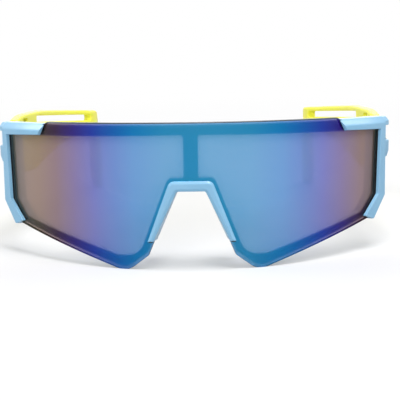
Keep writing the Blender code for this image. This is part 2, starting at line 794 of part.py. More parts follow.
def hinge_bores(side):
    """The screw's bore and head seat in the lower lug, and the insert's pocket in the upper lug."""
    axis = (side * HINGE_X, HINGE_Y, 0)
    head_radius = SCREW_HEAD_RADIUS + HINGE_FIT
    bore = turned([
        (0, LOWER_LUG_TOP + OVERRUN / 2), (BORE_RADIUS, LOWER_LUG_TOP + OVERRUN / 2),
        (BORE_RADIUS, HEAD_SEAT), (head_radius, HEAD_SEAT),
        (head_radius, LOWER_LUG_LOW - OVERRUN), (0, LOWER_LUG_LOW - OVERRUN)])
    pocket = disc(INSERT_RADIUS + HINGE_FIT, UPPER_LUG_LOW - OVERRUN / 2, SCREW_TOP + HINGE_FIT)
    return [("DIFFERENCE", moved(bore, axis)), ("DIFFERENCE", moved(pocket, axis))]


def build_frame():
    lip = face_plate(
        round_corners(shift_edges(LENS_OUTLINE, rim_shifts())), LENS_THICKNESS / 2, RIM_REAR,
        LENS_THICKNESS + CLEARANCE,
        [round_corners(window_corners()), round_corners(flipped(window_corners()))])
    steps = []
    for corners in (bracket_corners(), flipped(bracket_corners())):
        bracket = face_plate(
            round_corners(corners), -BRACKET_LIP, RIM_REAR + CLEARANCE, -BRACKET_LIP)
        steps.append(("UNION", bracket))
    groove = face_plate(
        round_corners(LENS_GROWN), -CLEARANCE, LENS_THICKNESS + CLEARANCE, 0)
    steps.append(("DIFFERENCE", groove))
    mesh = bend_to_face(joined(lip, *steps), "front_frame")
    steps = []
    for side in (1, -1):
        upper = upright(lug_plan(), UPPER_LUG_LOW, BRACKET_TOP - HINGE_FIT, side)
        steps += [("UNION", upper), ("UNION", lower_lug(side))]
    for side in (1, -1):
        steps += hinge_bores(side)
    part("front_frame", joined(mesh, *steps), face, blue)


# Nose bridge: a clip with a front lip, a web through the notch, a rear flange and two wings
def nose_arch(inner_grow, outer_grow, low):
    """The A-shaped band between the inner line and the outer line, each grown outward."""
    outer_low, outer_top = trapezoid(*NOSE_OUTER, outer_grow, low)
    inner_low, inner_top = trapezoid(*NOSE_INNER, inner_grow, low)
    right = [(*outer_top, NOSE_OUT_ROUND), (*outer_low, 0), (*inner_low, 0)]
    right.append((*inner_top, NOSE_IN_ROUND))
    return round_corners([*right, *flipped(right)])


def leg_panel(start_share, end_share, inner, outer, side):
    """A panel along a leg of the arch, between two shares of its height and two offsets."""
    height = NOSE_IN_TOP - NOSE_END
    low = NOSE_END + height * start_share
    high = NOSE_END + height * end_share
    corner = (outer - inner) * PANEL_ROUND_SHARE
    corners = [
        (line_at(*NOSE_INNER, high) + inner, high, corner),
        (line_at(*NOSE_INNER, high) + outer, high, corner),
        (line_at(*NOSE_INNER, low) + outer, low, corner),
        (line_at(*NOSE_INNER, low) + inner, low, corner)]
    return round_corners(corners if side > 0 else flipped(corners))


def build_nose_bridge():
    flange_near = RIM_REAR + CLEARANCE
    body = plate(
        nose_arch(0, NOSE_FLANGE_EXTRA, NOSE_END), -NOSE_LIP, flange_near + NOSE_FLANGE)
    beyond = NOSE_OUT_TOP
    channel = plate(nose_arch(NOSE_WEB, beyond, -beyond), -CLEARANCE, flange_near)
    lip_trim = plate(
        nose_arch_outside(beyond), -NOSE_LIP - OVERRUN, -CLEARANCE / 2)
    steps = [("DIFFERENCE", channel), ("DIFFERENCE", lip_trim)]
    for side in (1, -1):
        wing = plate(
            leg_panel(
                WING_LOW_SHARE, WING_TOP_SHARE, PAD_THICKNESS + CLEARANCE,
                PAD_THICKNESS + CLEARANCE + WING_THICKNESS, side),
            flange_near + NOSE_FLANGE / 2, flange_near + NOSE_FLANGE + WING_DEPTH)
        steps.append(("UNION", wing))
    mesh = bend_to_face(
        joined(body, *steps), "nose_bridge", WING_SPLAY, flange_near + NOSE_FLANGE)
    part("nose_bridge", mesh, face, blue)


def nose_arch_outside(beyond):
    """All that lies outside the lip's outer line, for trimming it from the flange's size."""
    outer_low, outer_top = trapezoid(*NOSE_OUTER, 0, -beyond)
    far_low, far_top = trapezoid(*NOSE_OUTER, beyond, -beyond)
    right = [(*far_top, 0), (*far_low, 0), (*outer_low, 0), (*outer_top, NOSE_OUT_ROUND)]
    return round_corners([*right, *flipped(right)])


def build_nose_pads():
    near = RIM_REAR + CLEARANCE * 2 + NOSE_FLANGE
    start = WING_LOW_SHARE + PAD_MARGIN_SHARE
    end = WING_TOP_SHARE - PAD_MARGIN_SHARE
    for side, tag in ((1, "left"), (-1, "right")):
        flat = plate(
            leg_panel(start, end, 0, PAD_THICKNESS, side), near,
            near + WING_DEPTH - PAD_MARGIN)
        flat = bevelled(flat, PAD_ROUND)
        name = "nose_pad_" + tag
        mesh = bend_to_face(flat, name, WING_SPLAY, RIM_REAR + CLEARANCE + NOSE_FLANGE)
        part(name, mesh, face, soft_blue)


# Temples: arm with eye and slot, soft ear tip
def build_temple(side, tag, hinge):
    half = TEMPLE_THICKNESS / 2
    arm = plate(temple_outline(), -half, half, [slot_outline()])
    core = plate(
        strip(TIP_START - CORE_ROOT, HOOK_LENGTH + TIP_HALF_WIDTH - CORE_END_WALL,
              CORE_HALF_WIDTH, CORE_HALF_WIDTH / 2), -CORE_THICKNESS / 2, CORE_THICKNESS / 2)
    eye = disc(EYE_RADIUS, TONGUE_LOW, TONGUE_TOP)
    bore = disc(BUSH_RADIUS + HINGE_FIT, TONGUE_LOW - OVERRUN / 4, TONGUE_TOP + OVERRUN / 4)
    flat = joined(arm, ("UNION", core), ("UNION", eye), ("DIFFERENCE", bore))
    part("temple_" + tag, bend_to_temple(flat, "temple_" + tag, side), hinge, yellow)


def build_ear_tip(side, tag, hinge):
    end = HOOK_LENGTH + TIP_HALF_WIDTH
    half = TIP_THICKNESS / 2
    sleeve = plate(
        strip(TIP_START + CLEARANCE, end, TIP_HALF_WIDTH, TIP_HALF_WIDTH * TIP_ROUND_SHARE),
        -half, half)
    sleeve = bevelled(sleeve, TIP_ROUND)
    room = CORE_THICKNESS / 2 + CLEARANCE
    core_half = CORE_HALF_WIDTH + CLEARANCE
    pocket = plate(
        strip(TIP_START - CORE_ROOT, end - CORE_END_WALL + CLEARANCE, core_half, core_half / 2),
        -room, room)
    flat = joined(sleeve, ("DIFFERENCE", pocket))
    name = "ear_tip_" + tag
    tip = part(name, bend_to_temple(flat, name, side), hinge, soft_yellow)
    combine(tip, ground, "DIFFERENCE")


# Hinge hardware
def build_screw(name, axis):
    body = turned([
        (0, SCREW_TOP), (SCREW_RADIUS, SCREW_TOP), (SCREW_RADIUS, HEAD_SEAT - HINGE_FIT),
        (SCREW_HEAD_RADIUS, HEAD_SEAT - HINGE_FIT),
        (SCREW_HEAD_RADIUS, HEAD_SEAT - HINGE_FIT - SCREW_HEAD),
        (0, HEAD_SEAT - HINGE_FIT - SCREW_HEAD)])
    half = SCREW_SLOT_WIDTH / 2
    reach = SCREW_HEAD_RADIUS + OVERRUN / 2
    low = HEAD_SEAT - HINGE_FIT - SCREW_HEAD
    slot = upright(
        [(-reach, -half), (-reach, half), (reach, half), (reach, -half)],
        low - OVERRUN / 2, low + SCREW_SLOT_DEPTH)
    part(name, joined(body, ("DIFFERENCE", slot)), axis, steel)


def build_hinge_hardware(tag, axis, hinge):
    build_screw("hinge_screw_" + tag, axis)
    insert = ring(
        INSERT_RADIUS, BORE_RADIUS, UPPER_LUG_LOW + HINGE_FIT, SCREW_TOP - HINGE_FIT)
    part("hinge_insert_" + tag, insert, axis, brass)
    washer = ring(WASHER_RADIUS, BORE_RADIUS, WASHER_LOW, WASHER_LOW + WASHER_THICKNESS)
    part("hinge_washer_" + tag, washer, axis, nylon)
    bush = ring(BUSH_RADIUS, BORE_RADIUS, TONGUE_LOW, TONGUE_TOP)
    part("hinge_bush_" + tag, bush, hinge, brass)


def stand_over_origin():
    """Move the glasses forward until the origin lies under the middle of their length."""
    depsgraph = bpy.context.evaluated_depsgraph_get()
    reach = []
    for made in glasses.objects:
        if made.type == "MESH":
            for vertex in made.evaluated_get(depsgraph).data.vertices:
                reach.append((made.matrix_world @ vertex.co).y)
    face.location.y -= (min(reach) + max(reach)) / 2


build_lens()
build_frame()
build_nose_bridge()
build_nose_pads()
for side_sign, side_tag in ((1, "left"), (-1, "right")):
    place_of_hinge = (side_sign * HINGE_X, HINGE_Y, 0)
    frame_side = empty("frame_hinge_" + side_tag, face, place_of_hinge)
    temple_side = empty("temple_hinge_" + side_tag, face, place_of_hinge)
    build_temple(side_sign, side_tag, temple_side)
    build_ear_tip(side_sign, side_tag, temple_side)
    build_hinge_hardware(side_tag, frame_side, temple_side)
stand_over_origin()
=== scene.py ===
import json
import math

import bmesh
import bpy
from mathutils import Matrix, Vector


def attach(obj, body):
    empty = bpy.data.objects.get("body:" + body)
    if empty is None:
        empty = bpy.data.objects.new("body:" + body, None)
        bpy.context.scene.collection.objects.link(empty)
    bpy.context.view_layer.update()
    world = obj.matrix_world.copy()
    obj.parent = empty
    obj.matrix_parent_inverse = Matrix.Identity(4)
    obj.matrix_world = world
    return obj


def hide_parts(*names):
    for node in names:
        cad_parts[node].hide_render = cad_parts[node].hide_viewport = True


# Cycling glasses: smooth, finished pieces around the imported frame. Metres, +Z up, front to -Y.
# The pieces are drawn flat and upright, bent round the lens or along a temple, then tilted
# until the glasses stand on their feet.
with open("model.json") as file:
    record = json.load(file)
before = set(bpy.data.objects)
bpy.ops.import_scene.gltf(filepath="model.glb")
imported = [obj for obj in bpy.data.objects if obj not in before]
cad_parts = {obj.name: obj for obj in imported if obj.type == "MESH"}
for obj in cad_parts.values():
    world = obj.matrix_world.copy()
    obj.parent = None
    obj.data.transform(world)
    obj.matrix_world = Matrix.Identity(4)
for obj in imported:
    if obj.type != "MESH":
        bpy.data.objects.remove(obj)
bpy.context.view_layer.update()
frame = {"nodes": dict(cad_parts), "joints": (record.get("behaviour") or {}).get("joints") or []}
print("frame loaded")

turnStep = math.radians(7.5)  # largest turn from one edge of a rounding to the next
stepSlack = 0.01  # keeps a small error in an angle from adding a step
wrapStep = math.radians(1.25)
flatShare = 0.999
mergeDistance = 0.000004
smallestRound = mergeDistance * 8
discSides = 48
cutBeyond = 0.001  # how far a cutter reaches past what it cuts
fullRound = 0.97  # a rounding just under half of a width

front = {
    "halfWidth": 0.0720,
    "lensHeight": 0.0529,
    "wrap": math.radians(53.56),
    "fit": 0.0003,
    "thickness": 0.0020,
    "lip": 0.0015,
    "rimDepth": 0.0027,
}
front["radius"] = front["halfWidth"] / math.sin(front["wrap"]) - front["lip"]
front["lipRadius"] = front["radius"] + front["lip"]
front["rimNear"] = front["thickness"] + front["fit"]
front["rimRear"] = front["rimNear"] + front["rimDepth"]

hinge = {
    "x": 0.0704,
    "setback": 0.0066,
    "lugRadius": 0.0033,
    "upperLow": 0.0487,
    "lowerTop": 0.0432,
    "lowerLow": 0.0368,
    "tongue": (0.0440, 0.0485),
    "bore": 0.0010,
    "bush": 0.0015,
    "fit": 0.0002,
    "root": 0.0022,
    "ahead": 0.0026,
    "planRound": 0.001,
    "seat": 0.0014,
    "head": 0.0017,
    "insert": 0.0019,
    "insertTop": 0.0513,
    # (rise, inset) from the low or the top face of a lug
    "upperFoot": [(0, 0.0002), (0.0002, 0)],
    "upperHead": [(-0.0016, 0), (-0.0004, 0.0009), (-0.0001, 0.0012), (0, 0.0016)],
    "lowerFoot": [(0, 0.0011), (0.0002, 0.0008), (0.0024, 0.0001)],
    "lowerHead": [(-0.0003, 0), (0, 0.0003)],
}
hinge["y"] = front["radius"] - front["lipRadius"] * math.cos(front["wrap"]) + hinge["setback"]


def standingPlace():
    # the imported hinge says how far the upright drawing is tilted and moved
    joint = frame["joints"][0]
    axis = Vector(joint["axis"])
    side = 1 if joint["pos_m"][0] > 0 else -1
    drawn = Vector((side * hinge["x"], hinge["y"], sum(hinge["tongue"]) / 2))
    tilt = Matrix.Rotation(-math.atan2(axis.y, axis.z), 4, "X")
    return Matrix.Translation(joint["pos_m"]) @ tilt @ Matrix.Translation(-drawn)


place = standingPlace()


# Outlines: corners are (x, z, rounding), clockwise as seen from the front
def roundedOutline(corners):
    outline = []
    count = len(corners)
    for i in range(count):
        x, z, rounding = corners[i]
        here = Vector((x, z))
        back = (Vector(corners[i - 1][:2]) - here).normalized()
        ahead = (Vector(corners[(i + 1) % count][:2]) - here).normalized()
        angle = back.angle(ahead)
        if rounding == 0:
            outline.append(here)
            continue
        centre = here + (back + ahead).normalized() * (rounding / math.sin(angle / 2))
        start = here + back * (rounding / math.tan(angle / 2)) - centre
        turn = math.pi - angle
        if back.cross(ahead) < 0:
            turn = -turn
        steps = max(2, math.ceil(abs(turn) / turnStep - stepSlack))
        for k in range(steps + 1):
            outline.append(centre + Matrix.Rotation(-turn * k / steps, 2) @ start)
    return outline


def insetCorners(corners, inset, weights=None):
    # every edge moves inward, and the roundings shrink or grow with it
    count = len(corners)
    weights = weights or [1] * count
    lines = []
    for i in range(count):
        a, b = Vector(corners[i][:2]), Vector(corners[(i + 1) % count][:2])
        along = (b - a).normalized()
        lines.append((a + Vector((along.y, -along.x)) * inset * weights[i], along))
    moved = []
    for i in range(count):
        (p, u), (q, v) = lines[i - 1], lines[i]
        bend = u.cross(v)
        here = q if abs(bend) < 1e-6 else p + u * ((q - p).cross(v) / bend)
        rounding = corners[i][2]
        if rounding:
            amount = inset * (weights[i - 1] + weights[i]) / 2
            rounding = max(rounding + (amount if bend > 0 else -amount), smallestRound)
        moved.append((*here, rounding))
    return moved


def mirrored(half):
    return half + [(-x, z, rounding) for x, z, rounding in reversed(half)]


def flipped(corners):
    return [(-x, z, rounding) for x, z, rounding in reversed(corners)]


def flippedEdges(shares):
    # edge i runs from corner i to the next, so its number changes as the corners are reversed
    return [*reversed(shares[:-1]), shares[-1]]


def bothSides(corners, shares):
    # an outline with the shares of its edges, for one side and for the other
    return (corners, shares), (flipped(corners), flippedEdges(shares))


def lineAt(a, b, z):
    return a[0] + (b[0] - a[0]) * (z - a[1]) / (b[1] - a[1])


def seenRound(halfWidth, seenRadius, arc, radius):
    return radius * math.sin(math.asin(halfWidth / seenRadius) + arc / front["radius"])


# Flat bodies: x and z hold the outline, y runs over the depth
def farLevels(far, rounding, steps):
    # (depth, inset) of each ring of a plate's rounded far rim
    levels = []
    for k in range(steps + 1):
        a = math.pi / 2 * k / steps
        levels.append((far - rounding * (1 - math.sin(a)), rounding * (1 - math.cos(a))))
    return levels


def softLevels(near, far, nearRound, farRound, steps):
    # the rings of a plate with both rims rounded
    levels = []
    for k in range(steps + 1):
        a = math.pi / 2 * (1 - k / steps)
        levels.append((near + nearRound * (1 - math.sin(a)), nearRound * (1 - math.cos(a))))
    return levels + farLevels(far, farRound, steps)


def loft(corners, levels, weights=None, scale=1.0):
    bm = bmesh.new()
    rings = []
    for depth, inset in levels:
        outline = roundedOutline(insetCorners(corners, inset, weights))
        rings.append([bm.verts.new((p.x * scale, depth, p.y)) for p in outline])
    for near, far in zip(rings, rings[1:]):
        for i in range(len(near)):
            bm.faces.new((near[i - 1], near[i], far[i], far[i - 1]))
    bm.faces.new(rings[0])
    bm.faces.new(rings[-1])
    bmesh.ops.remove_doubles(bm, verts=bm.verts, dist=mergeDistance)
    bmesh.ops.recalc_face_normals(bm, faces=bm.faces)
    return toMesh(bm)


def toMesh(bm):
    mesh = bpy.data.meshes.new("work")
    bm.to_mesh(mesh)
    bm.free()
    return mesh


def evaluated(guide):
    settled = guide.evaluated_get(bpy.context.evaluated_depsgraph_get())
    mesh = bpy.data.meshes.new_from_object(settled)
    bpy.data.objects.remove(guide, do_unlink=True)
    return mesh


def linked(mesh, name="work"):
    guide = bpy.data.objects.new(name, mesh)
    bpy.context.scene.collection.objects.link(guide)
    return guide


def combined(base, *steps):
    guide = linked(base)
    others = []
    for operation, mesh in steps:
        other = linked(mesh)
        others.append(other)
        boolean = guide.modifiers.new("step", "BOOLEAN")
        boolean.operation = operation
        boolean.solver = "EXACT"
        boolean.object = other
    mesh = evaluated(guide)
    for other in others:
        bpy.data.objects.remove(other, do_unlink=True)
    return mesh


def sliced(mesh, cuts):
    # cuts across x, so that the flat body can bend there; each strip of a flat side stays one face
    bm = bmesh.new()
    bm.from_mesh(mesh)
    bmesh.ops.triangulate(bm, faces=bm.faces)
    for x in cuts:
        bmesh.ops.bisect_plane(
            bm, geom=bm.verts[:] + bm.edges[:] + bm.faces[:], dist=mergeDistance,
            plane_co=(x, 0, 0), plane_no=(1, 0, 0))
    strips = {}
    for face in bm.faces:
        if abs(face.normal.y) > flatShare:
            centre = face.calc_center_median()
            key = (sum(1 for cut in cuts if cut <= centre.x), round(centre.y / mergeDistance))
            strips.setdefault(key, []).append(face)
    for faces in strips.values():
        bmesh.ops.dissolve_faces(bm, faces=faces, use_verts=True)
    return toMesh(bm)


# Node trees, with their maths written as expressions
class Value:
    def __init__(self, nodes, socket):
        self.nodes = nodes
        self.socket = socket

    def math(self, operation, *others):
        return self.nodes.math(operation, self, *others)

    def __add__(self, other):
        return self.math("ADD", other)

    def __sub__(self, other):
        return self.math("SUBTRACT", other)

    def __mul__(self, other):
        return self.math("MULTIPLY", other)

    def __truediv__(self, other):
        return self.math("DIVIDE", other)

    def __radd__(self, other):
        return self.nodes.math("ADD", other, self)

    def __rsub__(self, other):
        return self.nodes.math("SUBTRACT", other, self)

    def __rmul__(self, other):
        return self.nodes.math("MULTIPLY", other, self)


class Nodes:
    def __init__(self, tree):
        self.tree = tree

    def add(self, kind, settings=None, sockets=None):
        made = self.tree.nodes.new(kind)
        for key, value in (settings or {}).items():
            if key == "stops":
                self.setStops(made.color_ramp, value)
            else:
                setattr(made, key, value)
        for key, value in (sockets or {}).items():
            if isinstance(value, Value):
                self.tree.links.new(value.socket, made.inputs[key])
            else:
                made.inputs[key].default_value = value
        return made

    def setStops(self, ramp, stops):
        while len(ramp.elements) < len(stops):
            ramp.elements.new(0.5)
        for element, (position, colour) in zip(ramp.elements, stops):
            element.position = position
            element.color = (*colour, 1)

    def get(self, output, kind, settings=None, sockets=None):
        return Value(self, self.add(kind, settings, sockets).outputs[output])

    def math(self, operation, *values):
        return self.get(0, "ShaderNodeMath", {"operation": operation}, dict(enumerate(values)))

    def mixed(self, factor, a, b):
        # a colour between two colours
        return self.get(2, "ShaderNodeMix", {"data_type": "RGBA"}, {0: factor, 6: a, 7: b})

    def between(self, value, low, high, start=0.0, end=1.0):
        # a smooth step from start to end as the value goes from low to high
        return self.get("Result", "ShaderNodeMapRange", {"interpolation_type": "SMOOTHSTEP"}, {
            "Value": value, "From Min": low, "From Max": high, "To Min": start, "To Max": end})


def newTree(name, inputs):
    tree = bpy.data.node_groups.new(name, "GeometryNodeTree")
    tree.interface.new_socket("Geometry", in_out="INPUT", socket_type="NodeSocketGeometry")
    for label, kind, value in inputs:
        socket = tree.interface.new_socket(label, in_out="INPUT", socket_type=kind)
        if value is not None:
            socket.default_value = value
    tree.interface.new_socket("Geometry", in_out="OUTPUT", socket_type="NodeSocketGeometry")
    nodes = Nodes(tree)
    source = nodes.add("NodeGroupInput")
    return tree, nodes, {s.name: Value(nodes, s) for s in source.outputs if s.name}


def closeTree(nodes, geometry, material):
    solid = nodes.get(0, "GeometryNodeRealizeInstances", None, {0: geometry})
    dressed = nodes.get(0, "GeometryNodeSetMaterial", None, {
        "Geometry": solid, "Material": material})
    nodes.add("NodeGroupOutput", None, {"Geometry": dressed})


def through(mesh, tree, values):
    # a mesh put through a node tree, as a plain mesh
    guide = linked(mesh)
    modifier = guide.modifiers.new("shape", "NODES")
    modifier.node_group = tree
    for item in tree.interface.items_tree:
        if item.item_type == "SOCKET" and item.in_out == "INPUT" and item.name in values:
            modifier[item.identifier] = values[item.name]
    return evaluated(guide)


def lensWrapTree():
    # bends a flat body round the lens; past a depth it may also lean outward
    tree, nodes, inputs = newTree("wrapRoundLens", [
        ("Radius", "NodeSocketFloat", 0.088), ("Lean", "NodeSocketFloat", 0.0),
        ("Lean From", "NodeSocketFloat", 0.0), ("Material", "NodeSocketMaterial", None)])
    position = nodes.get(0, "GeometryNodeInputPosition")
    apart = nodes.add("ShaderNodeSeparateXYZ", None, {0: position})
    x, depth, z = (Value(nodes, socket) for socket in apart.outputs)
    share = x / inputs["Radius"]
    around = nodes.math("SQRT", 1 - share * share)
    radius = inputs["Radius"] - depth
    outward = inputs["Lean"] * (depth - inputs["Lean From"]).math("MAXIMUM", 0.0)
    outward = outward * nodes.math("SIGN", x)
    bent = nodes.get(0, "ShaderNodeCombineXYZ", None, {
        0: radius * share + outward, 1: inputs["Radius"] - radius * around, 2: z})
    moved = nodes.get(0, "GeometryNodeSetPosition", None, {
        "Geometry": inputs["Geometry"], "Position": bent})
    closeTree(nodes, moved, inputs["Material"])
    return tree


lensWrap = lensWrapTree()


def bentRoundLens(mesh, material, lean=0.0, leanFrom=0.0):
    widest = max(abs(vertex.co.x) for vertex in mesh.vertices)
    steps = math.ceil(math.asin(widest / front["radius"]) / wrapStep)
    cuts = [front["radius"] * math.sin(k * wrapStep) for k in range(-steps, steps + 1)]
    return through(sliced(mesh, cuts), lensWrap, {
        "Radius": front["radius"], "Lean": lean, "Lean From": leanFrom, "Material": material})


def facePlate(corners, levels, seen, weights=None):
    # its outline is as seen from ahead once bent, at the depth called seen
    return loft(corners, levels, weights, front["radius"] / (front["radius"] - seen))


def finished(name, mesh, body, nodes, smooth=35.0):
    mesh.transform(place)
    mesh.name = name
    piece = linked(mesh, name)
    mesh.shade_smooth()
    mesh.set_sharp_from_angle(angle=math.radians(smooth))
    weighted = piece.modifiers.new("normals", "WEIGHTED_NORMAL")
    weighted.keep_sharp = True
    weighted.weight = 80
    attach(piece, body)
    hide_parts(*nodes)
    print("made", name, len(mesh.polygons))


# Materials
def newMaterial(name):
    material = bpy.data.materials.new(name)
    material.use_nodes = True
    material.node_tree.nodes.clear()
    nodes = Nodes(material.node_tree)
    return material, nodes, nodes.get("Object", "ShaderNodeTexCoord")


def surface(nodes, shader):
    nodes.add("ShaderNodeOutputMaterial", None, {"Surface": shader})


def noise(nodes, where, scale, detail=3.0, rough=0.55):
    return nodes.get(0, "ShaderNodeTexNoise", None, {
        "Vector": where, "Scale": scale, "Detail": detail, "Roughness": rough})


def mouldedPlastic(name, look):
    # satin moulded plastic: fine spark texture, soft mottling, a little light under the skin
    material, nodes, where = newMaterial(name)
    mottle = noise(nodes, where, look["mottle"], 2.0)
    grain = noise(nodes, where, look["grain"], 3.0)
    colour = nodes.mixed(nodes.between(mottle, 0.3, 0.7), (*look["dark"], 1), (*look["light"], 1))
    rough = nodes.between(grain, 0.25, 0.75, look["rough"][0], look["rough"][1])
    bump = nodes.get(0, "ShaderNodeBump", None, {
        "Strength": look["bump"], "Distance": look["bumpDepth"], "Height": grain})
    surface(nodes, nodes.get(0, "ShaderNodeBsdfPrincipled", None, {
        "Base Color": colour, "Roughness": rough, "Normal": bump,
        "Subsurface Weight": look.get("glow", 0.0),
        "Subsurface Radius": look.get("glowTint", (0.6, 0.8, 1.0)),
        "Subsurface Scale": look.get("glowDepth", 0.001), "Coat Weight": look.get("coat", 0.0),
        "Coat Roughness": 0.3, "IOR": 1.5}))
    return material


def turnedMetal(name, look):
    # turned metal: fine rings, small scratches
    material, nodes, where = newMaterial(name)
    rings = noise(nodes, nodes.get(0, "ShaderNodeMapping", None, {
        "Vector": where, "Scale": (0.15, 0.15, 1.0)}), look["grain"], 4.0)
    stain = noise(nodes, where, look["stain"], 2.0)
    colour = nodes.mixed(stain, (*look["dark"], 1), (*look["light"], 1))
    rough = nodes.between(rings, 0.3, 0.7, look["rough"][0], look["rough"][1])
    bump = nodes.get(0, "ShaderNodeBump", None, {
        "Strength": 0.25, "Distance": 0.00004, "Height": rings})
    surface(nodes, nodes.get(0, "ShaderNodeBsdfPrincipled", None, {
        "Base Color": colour, "Roughness": rough, "Normal": bump, "Metallic": 1.0}))
    return material


frameBlue = mouldedPlastic("frameBlue", {
    "light": (0.240, 0.500, 0.720), "dark": (0.220, 0.475, 0.695), "mottle": 90.0,
    "grain": 9000.0, "rough": (0.26, 0.36), "bump": 0.10, "bumpDepth": 0.00003, "glow": 0.12,
    "coat": 0.30})
templeYellow = mouldedPlastic("templeYellow", {
    "light": (0.95, 0.93, 0.07), "dark": (0.93, 0.90, 0.05), "mottle": 70.0, "grain": 9000.0,
    "rough": (0.34, 0.46), "bump": 0.12, "bumpDepth": 0.00003, "glow": 0.25,
    "glowTint": (1.0, 0.75, 0.20), "coat": 0.05})
tipRubber = mouldedPlastic("tipRubber", {
    "light": (0.86, 0.86, 0.10), "dark": (0.80, 0.80, 0.07), "mottle": 120.0, "grain": 5000.0,
    "rough": (0.62, 0.80), "bump": 0.35, "bumpDepth": 0.00006, "glow": 0.1})
padSilicone = mouldedPlastic("padSilicone", {
    "light": (0.50, 0.72, 0.86), "dark": (0.44, 0.67, 0.82), "mottle": 150.0, "grain": 5000.0,
    "rough": (0.50, 0.66), "bump": 0.25, "bumpDepth": 0.00004, "glow": 0.35, "glowDepth": 0.002})
washerNylon = mouldedPlastic("washerNylon", {
    "light": (0.86, 0.86, 0.82), "dark": (0.80, 0.80, 0.76), "mottle": 200.0, "grain": 8000.0,
    "rough": (0.40, 0.55), "bump": 0.15, "bumpDepth": 0.00003})
screwSteel = turnedMetal("screwSteel", {
    "light": (0.66, 0.66, 0.68), "dark": (0.56, 0.56, 0.58), "grain": 6000.0, "stain": 700.0,
    "rough": (0.20, 0.36)})
hingeBrass = turnedMetal("hingeBrass", {
    "light": (0.78, 0.60, 0.30), "dark": (0.66, 0.47, 0.20), "grain": 6000.0, "stain": 700.0,
    "rough": (0.24, 0.40)})


# The coat's colours, the see-through colours and the off-middle centre they turn about are a
# painted reflection. They stand in for the coating's shift with viewing angle and for darker
# surroundings reflected toward the lens's ends.
coating = {
    "centre": 0.0060,
    "reach": 0.0720,
    "share": 0.65,
    "ripple": 30.0,
    "smear": 60.0,
    "haze": 0.72,
    "rearGloss": 0.07,
    "colours": [
        (0.00, (0.028, 0.35, 0.58)), (0.21, (0.022, 0.33, 0.57)), (0.36, (0.002, 0.25, 0.56)),
        (0.465, (0.006, 0.14, 0.49)), (0.57, (0.016, 0.045, 0.42)), (0.67, (0.032, 0.008, 0.22)),
        (0.77, (0.040, 0.006, 0.04)), (0.87, (0.070, 0.06, 0.03)), (0.97, (0.080, 0.09, 0.07))],
    "clearMiddle": (0.48, 0.52, 0.82),
    "clearSide": (0.84, 0.60, 0.56),
    "change": (0.030, 0.066),
}


def lensMirror():
    # painted reflection: the mirror turns from blue in the middle over purple to a darker olive at
    # the two ends, painted along the lens in place of the coating's change with viewing angle and
    # the darker surroundings it reflects toward the ends; the see-through colour turns with it
    material, nodes, where = newMaterial("lensMirror")
    x = Value(nodes, nodes.add("ShaderNodeSeparateXYZ", None, {0: where}).outputs[0])
    away = nodes.math("ABSOLUTE", x - coating["centre"])
    colour = nodes.get(0, "ShaderNodeValToRGB", {"stops": coating["colours"]}, {
        0: away / coating["reach"]})
    bump = nodes.get(0, "ShaderNodeBump", None, {
        "Strength": 0.03, "Distance": 0.0002,
        "Height": noise(nodes, where, coating["ripple"], 1.0)})
    smear = nodes.between(noise(nodes, where, coating["smear"], 4.0), 0.45, 0.75, 0.04, 0.09)
    coat = nodes.get(0, "ShaderNodeBsdfPrincipled", None, {
        "Base Color": colour, "Metallic": 1.0, "Roughness": smear, "Normal": bump})
    middle = nodes.get(0, "ShaderNodeBsdfTransparent", None, {
        "Color": (*coating["clearMiddle"], 1)})
    side = nodes.get(0, "ShaderNodeBsdfTransparent", None, {"Color": (*coating["clearSide"], 1)})
    clear = nodes.get(0, "ShaderNodeMixShader", None, {
        0: nodes.between(away, *coating["change"]), 1: middle, 2: side})
    surface(nodes, nodes.get(0, "ShaderNodeMixShader", None, {
        0: coating["share"], 1: clear, 2: coat}))
    return material


def lensInside():
    # the bare rear of the lens: a slight haze, and a faint gloss that a few smears dull
    material, nodes, where = newMaterial("lensInside")
    smear = nodes.between(noise(nodes, where, coating["smear"], 4.0), 0.45, 0.75, 0.03, 0.10)
    gloss = nodes.get(0, "ShaderNodeBsdfPrincipled", None, {
        "Base Color": (0.80, 0.83, 0.88, 1), "Metallic": 1.0, "Roughness": smear})
    clear = nodes.get(0, "ShaderNodeBsdfTransparent", None, {"Color": (0.97, 0.97, 0.97, 1)})
    haze = nodes.get(0, "ShaderNodeBsdfTranslucent", None, {"Color": (0.97, 0.97, 0.97, 1)})
    body = nodes.get(0, "ShaderNodeMixShader", None, {0: coating["haze"], 1: clear, 2: haze})
    surface(nodes, nodes.get(0, "ShaderNodeMixShader", None, {
        0: coating["rearGloss"], 1: body, 2: gloss}))
    return material


def shadedCutEdge():
    # the milled edge of the lens, finely scored; its near-black colour is painted shade, the dark
    # line along the lens's edges
    material, nodes, where = newMaterial("shadedCutEdge")
    score = noise(nodes, where, 4000.0, 4.0)
    # near-black: painted shade along the lens's edges and on its upward front bevels
    colour = nodes.mixed(score, (0.012, 0.022, 0.034, 1), (0.030, 0.048, 0.066, 1))
    bump = nodes.get(0, "ShaderNodeBump", None, {
        "Strength": 0.3, "Distance": 0.00003, "Height": score})
    surface(nodes, nodes.get(0, "ShaderNodeBsdfPrincipled", None, {
        "Base Color": colour, "Roughness": nodes.between(score, 0.3, 0.7, 0.30, 0.45),
        "Normal": bump}))
    return material


lensCoat = lensMirror()
lensRear = lensInside()
edgeShade = shadedCutEdge()
print("materials made")


